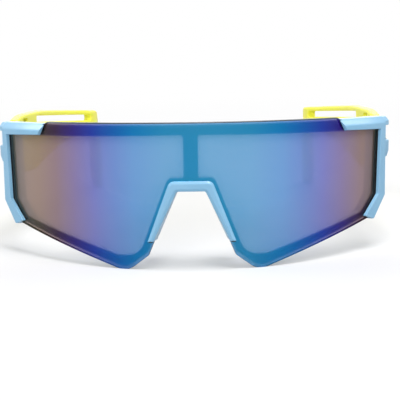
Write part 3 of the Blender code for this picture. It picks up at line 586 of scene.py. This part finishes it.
# Shield lens
lens = {
    "topHalf": front["halfWidth"] * 0.742,
    "cutHalf": front["halfWidth"] * 0.769,
    "footHalf": front["halfWidth"] * 0.3264,
    "noseHeight": front["lensHeight"] * 0.110,
    "noseInset": 0.0003,
    "tuck": 0.0013,
    "topRound": 0.0020,
    "notchRound": 0.0016,
    "footRound": 0.0060,
    "noseRound": 0.0020,
    "smallRound": 0.0005,
    "frontRim": 0.00045,
    "rearRim": 0.00025,
    "lowCorner": (0.0648, 0.0148),
    # how far a face looks outward, 1 to -1, and upward: tells front, milled edge and rear apart;
    # upward front bevels go with the milled edge and take its painted shade in place of the coat's
    # glint
    "bevelFacing": 0.97,
    "edgeFacing": 0.15,
    "rearFacing": -0.5,
    "upward": 0.1,
}
bracket = {
    "top": 0.0522,
    "armLow": 0.0480,
    "outer": 0.0726,
    "corner": (0.0700, 0.0475),
    "innerKnee": (0.0689, 0.0236),
    "outerKnee": (0.0721, 0.0228),
    "innerEnd": (0.0635, 0.0161),
    "outerEnd": (0.0672, 0.0142),
    "round": 0.0012,
    "lean": 0.0028,
    "leanShares": [1, 0.16, 0.16, 0.08, 0.06, 0.06, 0.10, 0.10],
    # (depth, share of the lean): above a narrow upright edge the face leans back
    "face": [(-0.00150, 1.0), (-0.00146, 0.90), (-0.00136, 0.78), (-0.00116, 0.62),
             (-0.00086, 0.43), (-0.00052, 0.23), (-0.00026, 0.10), (0.00006, 0.02), (0.0004, 0)],
    "rearSoft": 0.0007,
}
nose = {
    "end": 0.0110,
    "innerLow": front["halfWidth"] * 0.1868,
    "innerTop": front["halfWidth"] * 0.0694,
    "innerHeight": 0.0287,
    "outerHeight": 0.0323,
    "legLow": 0.00205,
    "legTop": 0.0025,
    "innerRound": 0.0008,
    "outerRound": 0.0024,
    "web": 0.0010,
    "flange": 0.0012,
    "flangeExtra": 0.0013,
    "ridge": 0.0015,
    # (depth behind the ridge, inset) down the facet
    "facet": [(0, 0.00095), (0.00006, 0.00085), (0.00042, 0.00012), (0.00057, 0.00002)],
    "endShare": 0.25,
    "flangeSoft": 0.0004,
    "wing": 0.0014,
    "wingDepth": 0.0095,
    "wingRoot": 0.4,
    "wingShares": (0.02, 0.80),
    "wingRound": 0.0006,
    "wingSoft": (0.0001, 0.0004),
    "splay": math.tan(math.radians(10.0)),
    "pad": 0.0022,
    "padMargin": 0.0008,
    "padShare": 0.04,
    "padRound": 0.0009,
    "padSoft": 0.0008,
}
noseInner = ((nose["innerLow"], nose["end"]), (nose["innerTop"], nose["innerHeight"]))
noseOuter = (
    (nose["innerLow"] + nose["legLow"], nose["end"]),
    (nose["innerTop"] + nose["legTop"], nose["outerHeight"]))


def archSide(line, grow, lowHeight):
    low, top = line
    slope = (top[0] - low[0]) / (top[1] - low[1])
    outward = grow * math.hypot(1, slope)
    height = top[1] + grow
    return (
        (lineAt(low, top, lowHeight) + outward, lowHeight),
        (lineAt(low, top, height) + outward, height))


def tucked(corner, tuck, radius):
    # half width at a corner of the bracket's inner side, moved outward to lie under the bracket
    return seenRound(bracket[corner][0], front["lipRadius"], tuck, radius)


def lensCorners():
    cornerHalf = tucked("corner", lens["tuck"], front["radius"])
    kneeHalf = tucked("innerKnee", lens["tuck"], front["radius"])
    armTuck = bracket["armLow"] + front["lip"] / 2
    notchLow = nose["end"] - front["fit"] / 3
    narrow = archSide(noseInner, 0, notchLow)
    wide = archSide(noseInner, nose["web"] + front["fit"], notchLow)
    return mirrored([
        (lens["topHalf"], front["lensHeight"], lens["topRound"]),
        (lens["cutHalf"], armTuck, lens["smallRound"]),
        (cornerHalf, armTuck, lens["smallRound"]),
        (kneeHalf, bracket["innerKnee"][1], lens["topRound"]),
        (*lens["lowCorner"], lens["smallRound"]),
        (lens["footHalf"], 0, lens["footRound"]),
        (lineAt(*noseInner, lens["noseHeight"]) - lens["noseInset"], lens["noseHeight"],
         lens["noseRound"]),
        (*narrow[0], 0),
        (*wide[0], 0),
        (*wide[1], lens["notchRound"])])


lensOutline = lensCorners()


def groundBlock(mesh):
    # takes off what would lie under the ground, so that the feet are flat
    drawn = place.inverted()
    block = bmesh.new()
    bmesh.ops.create_cube(block, size=1)
    for vertex in block.verts:
        x, y, z = vertex.co
        vertex.co = drawn @ Vector((x, y, (z - 0.5) / 2))  # its top lies on the ground
    return combined(mesh, ("DIFFERENCE", toMesh(block)))


def buildLens():
    flat = facePlate(lensOutline, softLevels(
        0, front["thickness"], lens["frontRim"], lens["rearRim"], 3), 0)
    mesh = groundBlock(bentRoundLens(flat, lensCoat))
    for finish in (lensRear, edgeShade):
        mesh.materials.append(finish)
    for face in mesh.polygons:
        outward = Vector((face.center.x, face.center.y - front["radius"], 0)).normalized()
        facing = face.normal.dot(outward)
        # upward-facing front bevels get the edge's painted shade, so they show a dark line and no
        # glint of the lamps
        upward = face.normal.z > lens["upward"] and facing < lens["bevelFacing"]
        edge = facing < lens["edgeFacing"] or upward
        face.material_index = 1 if facing < lens["rearFacing"] else 2 if edge else 0
    finished("lens", mesh, "front", ["shield_lens"], 30.0)


buildLens()


# Front frame: the rim behind the lens, the two brackets and the hinge lugs
rim = {
    "inset": 0.0009,
    "bandTop": 0.0047,
    "sideTuck": 0.0013,
    "lowIn": 0.0044,
    "lowOut": 0.0033,
    "lowShares": (0.113, 1.045),
    "lowRound": 0.0050,
    "nose": 0.0030,
    "noseRoundShare": 0.77,
    "noseExtra": 0.0011,
    "topRound": 0.0008,
    "postHalf": 0.00265,
    "soft": 0.0006,
    "nearSoft": 0.0002,
    "cutPast": 0.0002,
    "sideSlope": 0.0016,
}


def rimShifts():
    # the share of the inset that each edge of the lens's outline takes: its top and low edges
    half = [0, 0, 0, 0, 1, 1, 0.5, 0, 0]
    return half + [0] + half[::-1] + [1]


def windowCorners():
    rimRadius = front["radius"] - front["rimNear"]
    cornerHalf = tucked("corner", rim["sideTuck"], rimRadius)
    kneeHalf = tucked("innerKnee", rim["sideTuck"], rimRadius)
    archTop = archSide(noseOuter, rim["noseExtra"], nose["end"])[1]
    top = front["lensHeight"] - rim["bandTop"]
    foot = Vector((lens["footHalf"], 0))
    edge = Vector(lens["lowCorner"]) - foot
    upward = Vector((-edge.y, edge.x)).normalized()
    lowIn = foot + edge * rim["lowShares"][0] + upward * rim["lowIn"]
    lowOut = foot + edge * rim["lowShares"][1] + upward * rim["lowOut"]
    noseHalf = lineAt(*noseInner, lowIn.y) + rim["nose"]
    noseRound = (lowIn.x - noseHalf) * rim["noseRoundShare"]
    return [
        (rim["postHalf"], top, rim["topRound"]),
        (cornerHalf, bracket["corner"][1], rim["topRound"]),
        (kneeHalf, bracket["innerKnee"][1], rim["topRound"]),
        (*lowOut, rim["topRound"]),
        (*lowIn, rim["lowRound"]),
        (noseHalf, lowIn.y, noseRound),
        (*archTop, nose["outerRound"]),
        (rim["postHalf"], archTop[1], rim["topRound"])]


def bracketCorners():
    cutEnd = (lens["cutHalf"], bracket["armLow"] + front["lip"] / 2)
    cutTop = (lens["topHalf"], front["lensHeight"])
    rise = cutTop[1] - cutEnd[1]
    gap = front["fit"] * math.hypot(cutTop[0] - cutEnd[0], rise) / rise
    return [
        (lineAt(cutEnd, cutTop, bracket["top"]) + gap, bracket["top"], lens["smallRound"]),
        (bracket["outer"], bracket["top"], bracket["round"]),
        (*bracket["outerKnee"], bracket["round"]),
        (*bracket["outerEnd"], lens["smallRound"]),
        (*bracket["innerEnd"], 0),
        (*bracket["innerKnee"], bracket["round"]),
        (*bracket["corner"], 0),
        (lineAt(cutEnd, cutTop, bracket["armLow"]) + gap, bracket["armLow"], 0)]


def lugPlan():
    root = front["wrap"] - hinge["root"] / front["radius"]
    near = front["lipRadius"] - front["fit"] * 2
    far = front["radius"] - front["rimRear"] + front["fit"]
    outer = hinge["x"] + hinge["lugRadius"]
    inner = hinge["x"] - hinge["lugRadius"]
    rear = hinge["y"] + hinge["lugRadius"]
    ahead = hinge["y"] - hinge["ahead"]
    rounding = hinge["lugRadius"] * fullRound
    return [
        (near * math.sin(root), front["radius"] - near * math.cos(root), 0),
        (far * math.sin(root), front["radius"] - far * math.cos(root), 0),
        (inner, ahead, hinge["planRound"]),
        (inner, rear, rounding),
        (outer, rear, rounding),
        (outer, ahead, hinge["planRound"])]


def levelsAt(height, steps):
    return [(height + rise, inset) for rise, inset in steps]


def upright(corners, levels, side):
    # a body whose outline is its plan; levels run over the height
    mesh = loft(corners, levels)
    for vertex in mesh.vertices:
        x, height, y = vertex.co
        vertex.co = (side * x, y, height)
    bm = bmesh.new()
    bm.from_mesh(mesh)
    bmesh.ops.recalc_face_normals(bm, faces=bm.faces)
    return toMesh(bm)


def disc(radius, low, high, x=0.0, y=0.0):
    bm = bmesh.new()
    bmesh.ops.create_cone(
        bm, cap_ends=True, segments=discSides, radius1=radius, radius2=radius, depth=high - low)
    bmesh.ops.translate(bm, verts=bm.verts, vec=(x, y, (low + high) / 2))
    return toMesh(bm)


def buildFrame():
    rimOutline = insetCorners(lensOutline, rim["inset"], rimShifts())
    body = facePlate(rimOutline, softLevels(
        front["thickness"] / 2, front["rimRear"], rim["nearSoft"], rim["soft"], 3),
        front["rimNear"])
    near, far = front["thickness"] / 2 - cutBeyond, front["rimRear"] + rim["cutPast"]
    flare = farLevels(front["rimRear"], rim["soft"], 4)
    levels = [(near, 0), *((depth, -grow) for depth, grow in flare), (far, -rim["soft"])]
    slope = [(front["rimNear"] + front["fit"], 0), (far, -rim["sideSlope"])]
    steps = []
    for corners, shares in bothSides(windowCorners(), [0, 1, 1, 0, 0, 0, 0, 0]):
        steps.append(("DIFFERENCE", facePlate(corners, levels, front["rimNear"])))
        steps.append(("DIFFERENCE", facePlate(corners, slope, front["rimNear"], shares)))
    levels = [(depth, share * bracket["lean"]) for depth, share in bracket["face"]]
    levels += farLevels(front["rimRear"] + front["fit"], bracket["rearSoft"], 4)
    for corners, shares in bothSides(bracketCorners(), bracket["leanShares"]):
        steps.append(("UNION", facePlate(corners, levels, -front["lip"], shares)))
    groove = insetCorners(lensOutline, -front["fit"])
    steps.append(("DIFFERENCE", facePlate(
        groove, [(-front["fit"], 0), (front["rimNear"], 0)], 0)))
    mesh = bentRoundLens(combined(body, *steps), frameBlue)
    upper = (levelsAt(hinge["upperLow"], hinge["upperFoot"])
             + levelsAt(bracket["top"] - hinge["fit"], hinge["upperHead"]))
    lower = (levelsAt(hinge["lowerLow"], hinge["lowerFoot"])
             + levelsAt(hinge["lowerTop"], hinge["lowerHead"]))
    steps = [("UNION", upright(lugPlan(), levels, side))
             for side in (1, -1) for levels in (upper, lower)]
    seat = hinge["lowerLow"] + hinge["seat"]
    holes = (
        (hinge["bore"], seat - cutBeyond / 2, hinge["lowerTop"] + cutBeyond),
        (hinge["head"], hinge["lowerLow"] - cutBeyond * 2, seat),
        (hinge["insert"], hinge["upperLow"] - cutBeyond, hinge["insertTop"]))
    for side in (1, -1):
        for hole in holes:
            steps.append(("DIFFERENCE", disc(*hole, side * hinge["x"], hinge["y"])))
    mesh = combined(mesh, *steps)
    mesh.materials.clear()
    mesh.materials.append(frameBlue)
    finished("frontFrame", mesh, "front", ["front_frame"])


buildFrame()


# Nose bridge and its two pads
def archCorners(innerGrow, outerGrow, low):
    outerLow, outerTop = archSide(noseOuter, outerGrow, low)
    innerLow, innerTop = archSide(noseInner, innerGrow, low)
    right = [(*outerTop, nose["outerRound"]), (*outerLow, 0), (*innerLow, 0),
             (*innerTop, nose["innerRound"])]
    return [*right, *flipped(right)]


def legPanel(start, end, inner, outer, rounding, side):
    height = nose["innerHeight"] - nose["end"]
    low, high = nose["end"] + height * start, nose["end"] + height * end
    corners = [
        (lineAt(*noseInner, high) + inner, high, rounding),
        (lineAt(*noseInner, high) + outer, high, rounding),
        (lineAt(*noseInner, low) + outer, low, rounding),
        (lineAt(*noseInner, low) + inner, low, rounding)]
    return corners if side > 0 else flipped(corners)


def buildNose():
    fit = front["fit"]
    flangeNear = front["rimRear"] + fit
    flangeFar = flangeNear + nose["flange"]
    low = nose["endShare"]
    ends = [1, low, 1, 1, 1, low, 1, 1]
    lip = loft(archCorners(0, 0, nose["end"]), [
        *levelsAt(-nose["ridge"], nose["facet"]), (-fit, 0), (fit, 0)], ends)
    body = loft(archCorners(0, nose["flangeExtra"], nose["end"]), [
        (-fit, 0), *farLevels(flangeFar, nose["flangeSoft"], 3)], ends)
    beyond = nose["outerHeight"]
    channel = loft(
        archCorners(nose["web"], beyond, -beyond), [(-fit, 0), (flangeNear, 0)])
    steps = [("UNION", lip), ("DIFFERENCE", channel)]
    for side in (1, -1):
        inner = nose["pad"] + fit
        wing = legPanel(*nose["wingShares"], inner, inner + nose["wing"], nose["wingRound"], side)
        steps.append(("UNION", loft(wing, softLevels(
            flangeNear + nose["flange"] * nose["wingRoot"], flangeFar + nose["wingDepth"],
            *nose["wingSoft"], 4))))
    mesh = bentRoundLens(combined(body, *steps), frameBlue, nose["splay"], flangeFar)
    finished("noseBridge", mesh, "front", ["nose_bridge"])
    near = flangeFar + fit
    start = nose["wingShares"][0] + nose["padShare"]
    end = nose["wingShares"][1] - nose["padShare"]
    for side, tag in ((1, "left"), (-1, "right")):
        pad = legPanel(start, end, 0, nose["pad"], nose["padRound"], side)
        far = near + nose["wingDepth"] - nose["padMargin"]
        flat = loft(pad, softLevels(near, far, nose["padSoft"], nose["padSoft"], 5))
        mesh = bentRoundLens(flat, padSilicone, nose["splay"], flangeFar)
        finished("nosePad_" + tag, mesh, "front", ["nose_pad_" + tag])


buildNose()


# Temples: the flat arm follows a plan line from the hinge to the ear
temple = {
    "length": 0.1000,
    "thickness": 0.0036,
    "toeIn": math.radians(8.0),
    "stretches": ((0.038, 0.0), (0.047, math.radians(20.0)), (0.011, math.radians(-32.0)),
                  (0.060, 0.0)),
    "leadIn": 0.010,
    "planStep": 0.0005,
    "bendCuts": 24,
    "top": 0.0520,
    "rise": (0.0130, 0.0540, 0.020),
    "frontLow": 0.0316,
    "crest": (0.038, 0.0546, 0.20),
    "belly": (0.028, 0.0309, 0.03),
    "narrow": (0.080, 0.04),
    "shoulder": 0.0015,
    "earTop": 0.0516,
    "earWidth": 0.0088,
    "earTurn": math.radians(48.0),
    "earRound": 0.0220,
    "hook": 0.0388,
    "slot": (0.0305, 0.0865),
    "slotWidth": 0.0026,
    "slotDrop": 0.0020,
    "slotRound": 0.0011,
    "flare": 0.0004,
    "tongueRoot": 0.006,
    "soft": 0.0011,
    "eye": 0.0024,
    "pocket": ((0.0120, 0.0504), (0.0180, 0.0525), 0.0009),
    "pocketDepth": 0.0013,
}
tip = {
    "start": temple["earRound"] * math.tan(temple["earTurn"] / 2) + 0.0010,
    "startRound": 0.0008,
    "half": 0.0047,
    "thickness": 0.0048,
    "soft": 0.0016,
    "core": (0.0024, 0.0018),
    "coreRounds": (0.0002, 0.0011),
    "endWall": 0.0040,
    "root": 0.0030,
    "ribs": 7,
    "ribStart": 0.0170,
    "ribPitch": 0.0028,
    "ribWidth": 0.0011,
    "ribProud": 0.00025,
    "ribRound": 0.0003,
    "ribShares": [1, 0.1, 1, 0.1],
}


def planLine():
    # the temple's middle line from above, as a curve that starts ahead of the hinge
    heading = temple["toeIn"]
    x, y = temple["leadIn"] * math.sin(heading), -temple["leadIn"] * math.cos(heading)
    points = [(x, y)]
    for length, turn in ((temple["leadIn"], 0.0), *temple["stretches"]):
        steps = max(1, math.ceil(length / temple["planStep"])) if turn else 1
        for _ in range(steps):
            heading += turn / steps / 2
            x -= length / steps * math.sin(heading)
            y += length / steps * math.cos(heading)
            heading += turn / steps / 2
            points.append((x, y))
    curve = bpy.data.curves.new("templePlan", "CURVE")
    curve.dimensions = "3D"
    spline = curve.splines.new("POLY")
    spline.points.add(len(points) - 1)
    for point, (x, y) in zip(spline.points, points):
        point.co = (x, y, 0, 1)
    return linked(curve, "templePlan")


def followTree():
    # x of the flat body is a distance along the plan line, its depth stands off sideways
    tree, nodes, inputs = newTree("followPlan", [
        ("Plan", "NodeSocketObject", None), ("Lead In", "NodeSocketFloat", 0.01),
        ("Side", "NodeSocketFloat", 1.0), ("Hinge", "NodeSocketVector", (0, 0, 0)),
        ("Material", "NodeSocketMaterial", None)])
    position = nodes.get(0, "GeometryNodeInputPosition")
    apart = nodes.add("ShaderNodeSeparateXYZ", None, {0: position})
    along, depth, z = (Value(nodes, socket) for socket in apart.outputs)
    plan = nodes.get("Geometry", "GeometryNodeObjectInfo", None, {"Object": inputs["Plan"]})
    sample = nodes.add("GeometryNodeSampleCurve", {"mode": "LENGTH", "use_all_curves": True}, {
        "Curves": plan, "Length": along + inputs["Lead In"]})
    spot = nodes.add("ShaderNodeSeparateXYZ", None, {0: Value(nodes, sample.outputs["Position"])})
    way = nodes.add("ShaderNodeSeparateXYZ", None, {0: Value(nodes, sample.outputs["Tangent"])})
    px, py = (Value(nodes, socket) for socket in spot.outputs[:2])
    tx, ty = (Value(nodes, socket) for socket in way.outputs[:2])
    bent = nodes.get(0, "ShaderNodeCombineXYZ", None, {
        0: (px + depth * ty) * inputs["Side"], 1: py - depth * tx, 2: z})
    moved = nodes.get(0, "GeometryNodeSetPosition", None, {
        "Geometry": inputs["Geometry"], "Position": bent, "Offset": inputs["Hinge"]})
    closeTree(nodes, moved, inputs["Material"])
    return tree


def ribTree():
    # a row of grip ribs, one at each step along the ear tip
    tree, nodes, inputs = newTree("rowOfRibs", [
        ("Count", "NodeSocketInt", 7), ("Step", "NodeSocketVector", (0, 0, 0)),
        ("Material", "NodeSocketMaterial", None)])
    line = nodes.get("Mesh", "GeometryNodeMeshLine", {"mode": "OFFSET"}, {
        "Count": inputs["Count"], "Offset": inputs["Step"]})
    placed = nodes.get("Instances", "GeometryNodeInstanceOnPoints", None, {
        "Points": line, "Instance": inputs["Geometry"]})
    closeTree(nodes, placed, inputs["Material"])
    return tree


templePlan = planLine()
followPlan = followTree()
rowOfRibs = ribTree()


def bentAlongTemple(mesh, side, material):
    cuts, here = [], 0.0
    count = temple["bendCuts"]
    for length, turn in temple["stretches"][:3]:
        if turn:
            cuts += [here + length * k / count for k in range(count + 1)]
        here += length
    mesh = through(sliced(mesh, sorted(set(cuts))), followPlan, {
        "Plan": templePlan, "Lead In": temple["leadIn"], "Side": float(side),
        "Hinge": (side * hinge["x"], hinge["y"], 0.0), "Material": material})
    bm = bmesh.new()
    bm.from_mesh(mesh)
    bmesh.ops.recalc_face_normals(bm, faces=bm.faces)
    bm.to_mesh(mesh)
    bm.free()
    return mesh


def hookPoint(along, across):
    middle = temple["earWidth"] / 2
    turn = temple["earTurn"]
    u = temple["length"] - middle * math.tan(turn / 2)
    z = temple["earTop"] - middle
    return (
        u + along * math.cos(turn) + across * math.sin(turn),
        z - along * math.sin(turn) + across * math.cos(turn))


def strip(start, end, half, startRound, endRound):
    return [
        (*hookPoint(start, half), startRound), (*hookPoint(end, half), endRound),
        (*hookPoint(end, -half), endRound), (*hookPoint(start, -half), startRound)]


def templeCorners():
    ahead = hinge["lugRadius"] + front["fit"] * 2
    earLow = temple["earTop"] - temple["earWidth"]
    half = temple["earWidth"] / 2
    low, high = hinge["tongue"]
    return [
        (ahead, high, 0),
        (ahead, temple["top"], temple["shoulder"]),
        temple["rise"],
        temple["crest"],
        (temple["length"], temple["earTop"], temple["earRound"]),
        (*hookPoint(tip["start"], half), 0),
        (*hookPoint(tip["start"], -half), 0),
        (temple["length"] - temple["earWidth"] * math.tan(temple["earTurn"] / 2), earLow,
         temple["earRound"] - temple["earWidth"]),
        (temple["narrow"][0], earLow, temple["narrow"][1]),
        temple["belly"],
        (ahead, temple["frontLow"], temple["shoulder"]),
        (ahead, low, 0)]


def slotCorners():
    start, end = temple["slot"]
    fall = (temple["crest"][1] - temple["earTop"]) / (temple["length"] - temple["crest"][0])
    startTop = temple["crest"][1] - temple["slotDrop"]
    endTop = startTop - fall * (end - temple["crest"][0])
    rounding = temple["slotRound"]
    return [
        (start, startTop, rounding), (end, endTop, rounding),
        (end, endTop - temple["slotWidth"], rounding),
        (start, startTop - temple["slotWidth"], rounding)]


def buildTemple(side, tag):
    body = tag + "_temple"
    half = temple["thickness"] / 2
    low, high = hinge["tongue"]
    arm = loft(templeCorners(), softLevels(-half, half, temple["soft"], temple["soft"], 5))
    flare = temple["flare"]
    slot = loft(slotCorners(), [
        (-half - cutBeyond, -flare), (-half, -flare), (-half + flare, 0), (half - flare, 0),
        (half, -flare), (half + cutBeyond, -flare)])
    root = temple["tongueRoot"]
    tongue = loft([(0, high, 0), (root, high, 0), (root, low, 0), (0, low, 0)], [
        (-half, 0), (half, 0)])
    coreHalf, coreThickness = tip["core"]
    core = loft(strip(
        tip["start"] - tip["root"], temple["hook"] + tip["half"] - tip["endWall"],
        coreHalf, *tip["coreRounds"]), [(-coreThickness / 2, 0), (coreThickness / 2, 0)])
    (left, bottom), (right, top), rounding = temple["pocket"]
    pocket = loft([
        (left, top, rounding), (right, top, rounding), (right, bottom, rounding),
        (left, bottom, rounding)], [
        (-half - cutBeyond, 0), (-half, 0), (-half + temple["pocketDepth"], flare)])
    eye = disc(temple["eye"], low, high)
    bore = disc(hinge["bush"] + hinge["fit"], low - cutBeyond, high + cutBeyond)
    flat = combined(
        arm, ("DIFFERENCE", slot), ("DIFFERENCE", pocket), ("UNION", tongue), ("UNION", core),
        ("UNION", eye), ("DIFFERENCE", bore))
    mesh = bentAlongTemple(flat, side, templeYellow)
    finished("temple_" + tag + "_arm", mesh, body, ["temple_" + tag])
    end = temple["hook"] + tip["half"]
    wide = tip["thickness"] / 2
    soft = tip["soft"]
    sleeve = loft(
        strip(tip["start"] + front["fit"], end, tip["half"], tip["startRound"],
              tip["half"] * fullRound),
        softLevels(-wide, wide, soft, soft, 5))
    room = coreThickness / 2 + front["fit"]
    hollowHalf = coreHalf + front["fit"]
    hollow = loft(strip(
        tip["start"] - tip["root"], end - tip["endWall"] + front["fit"], hollowHalf, 0,
        hollowHalf / 2), [(-room, 0), (room, 0)])
    proud = tip["ribProud"]
    rib = loft(
        strip(tip["ribStart"], tip["ribStart"] + tip["ribWidth"], tip["half"] + proud,
              tip["ribRound"], tip["ribRound"]),
        softLevels(-wide - proud, wide + proud, soft, soft, 5), tip["ribShares"])
    pitch, turn = tip["ribPitch"], temple["earTurn"]
    ribs = through(rib, rowOfRibs, {
        "Count": tip["ribs"], "Material": tipRubber,
        "Step": (pitch * math.cos(turn), 0.0, -pitch * math.sin(turn))})
    flat = combined(sleeve, ("UNION", ribs), ("DIFFERENCE", hollow))
    mesh = groundBlock(bentAlongTemple(flat, side, tipRubber))
    finished("earTip_" + tag, mesh, body, ["ear_tip_" + tag])


buildTemple(1, "left")
buildTemple(-1, "right")
bpy.data.objects.remove(templePlan, do_unlink=True)

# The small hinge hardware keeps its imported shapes
hardware = {
    "hinge_screw_": screwSteel, "hinge_insert_": hingeBrass, "hinge_bush_": hingeBrass,
    "hinge_washer_": washerNylon,
}
for stem, finish in hardware.items():
    for tag in ("left", "right"):
        node = frame["nodes"][stem + tag]
        node.data.materials.clear()
        node.data.materials.append(finish)
print("hardware finished")


# Studio: pale floor, white surroundings, soft lights
studio = {
    "worldLight": 0.25,
    "floorReach": 6.0,
    "floorGlow": 0.30,
    "floorChange": (0.16, 0.45),
    "mirroredChange": (0.10, 0.60),
    "paper": 0.73,
    "bounce": 0.55,
    "blueShare": 1.01,
    "aim": (0, 0, 0.02),
    # where each lamp stands, its size and its power
    "lamps": {
        "topLamp": ((0.16, -0.24, 1.08), 0.60, 10.0),
        "frontLamp": ((-0.25, -1.10, 0.45), 0.50, 5.0),
        "leftLamp": ((-0.88, 0.12, 0.58), 0.40, 3.0),
        "rightLamp": ((0.88, 0.12, 0.58), 0.40, 2.0),
        "backLamp": ((0.0, 1.10, 0.60), 0.90, 4.4),
    },
}


def seenBy(nodes):
    # 1 for the camera, and 1 for reflections; both are 0 for light that falls on the object
    paths = nodes.add("ShaderNodeLightPath")
    seen = nodes.math("MAXIMUM", Value(nodes, paths.outputs["Is Camera Ray"]),
                      Value(nodes, paths.outputs["Is Transmission Ray"]))
    return seen, Value(nodes, paths.outputs["Is Glossy Ray"])


def buildFloor():
    material, nodes, where = newMaterial("paleFloor")
    seen, mirrored = seenBy(nodes)
    bounce, paper = (
        (grey, grey, grey * studio["blueShare"], 1)
        for grey in (studio["bounce"], studio["paper"]))
    colour = nodes.mixed(seen, bounce, paper)
    lit = nodes.get(0, "ShaderNodeBsdfDiffuse", None, {"Color": colour})
    glow = nodes.get(0, "ShaderNodeEmission", None, {"Color": (1, 1, 1, 1), "Strength": 1.0})
    away = nodes.get("Value", "ShaderNodeVectorMath", {"operation": "LENGTH"}, {0: where})
    share = nodes.math(
        "MAXIMUM", seen * nodes.between(away, *studio["floorChange"], studio["floorGlow"], 1.0),
        mirrored * nodes.between(away, *studio["mirroredChange"]))
    surface(nodes, nodes.get(0, "ShaderNodeMixShader", None, {0: share, 1: lit, 2: glow}))
    bm = bmesh.new()
    bmesh.ops.create_circle(bm, cap_ends=True, segments=64, radius=studio["floorReach"])
    mesh = toMesh(bm)
    mesh.materials.append(material)
    linked(mesh, "paleFloor")


def buildWorld():
    world = bpy.data.worlds.new("whiteSurroundings")
    world.use_nodes = True
    world.node_tree.nodes.clear()
    bpy.context.scene.world = world
    nodes = Nodes(world.node_tree)
    white = nodes.math("MAXIMUM", *seenBy(nodes))
    strength = studio["worldLight"] + white * (1 - studio["worldLight"])
    background = nodes.get(0, "ShaderNodeBackground", None, {
        "Color": (1, 1, 1, 1), "Strength": strength})
    nodes.add("ShaderNodeOutputWorld", None, {"Surface": background})


def softLamp(name, spot, size, power):
    lamp = bpy.data.lights.new(name, "AREA")
    lamp.shape = "DISK"
    lamp.size = size
    lamp.energy = power
    made = bpy.data.objects.new(name, lamp)
    made.location = spot
    made.rotation_mode = "QUATERNION"
    away = Vector(spot) - Vector(studio["aim"])
    made.rotation_quaternion = away.to_track_quat("Z", "Y")
    bpy.context.scene.collection.objects.link(made)


def buildCamera():
    view = {
        "azimuth": math.radians(1.555), "elevation": math.radians(6.624),
        "roll": math.radians(-0.956), "distance": 0.450, "shift": (-0.003089, -0.025462),
        "lens": 114.85}
    az, el, roll = view["azimuth"], view["elevation"], view["roll"]
    ahead = Vector((-math.sin(az) * math.cos(el), math.cos(az) * math.cos(el), -math.sin(el)))
    right = Vector((math.cos(az), math.sin(az), 0))
    up = right.cross(ahead)
    spot = -ahead * view["distance"] - right * view["shift"][0] - up * view["shift"][1]
    across = right * math.cos(roll) + up * math.sin(roll)
    rise = up * math.cos(roll) - right * math.sin(roll)
    matrix = Matrix.Identity(4)
    for column, vector in enumerate((across, rise, -ahead, spot)):
        for row in range(3):
            matrix[row][column] = vector[row]
    camera = bpy.data.objects.new("camera", bpy.data.cameras.new("camera"))
    camera.data.lens = view["lens"]
    camera.data.clip_start = 0.01
    camera.data.clip_end = 100.0
    camera.matrix_world = place @ matrix
    bpy.context.scene.collection.objects.link(camera)
    bpy.context.scene.camera = camera


buildFloor()
buildWorld()
for name, lamp in studio["lamps"].items():
    softLamp(name, *lamp)
buildCamera()
bpy.context.scene.view_settings.view_transform = "Standard"
print("studio ready")
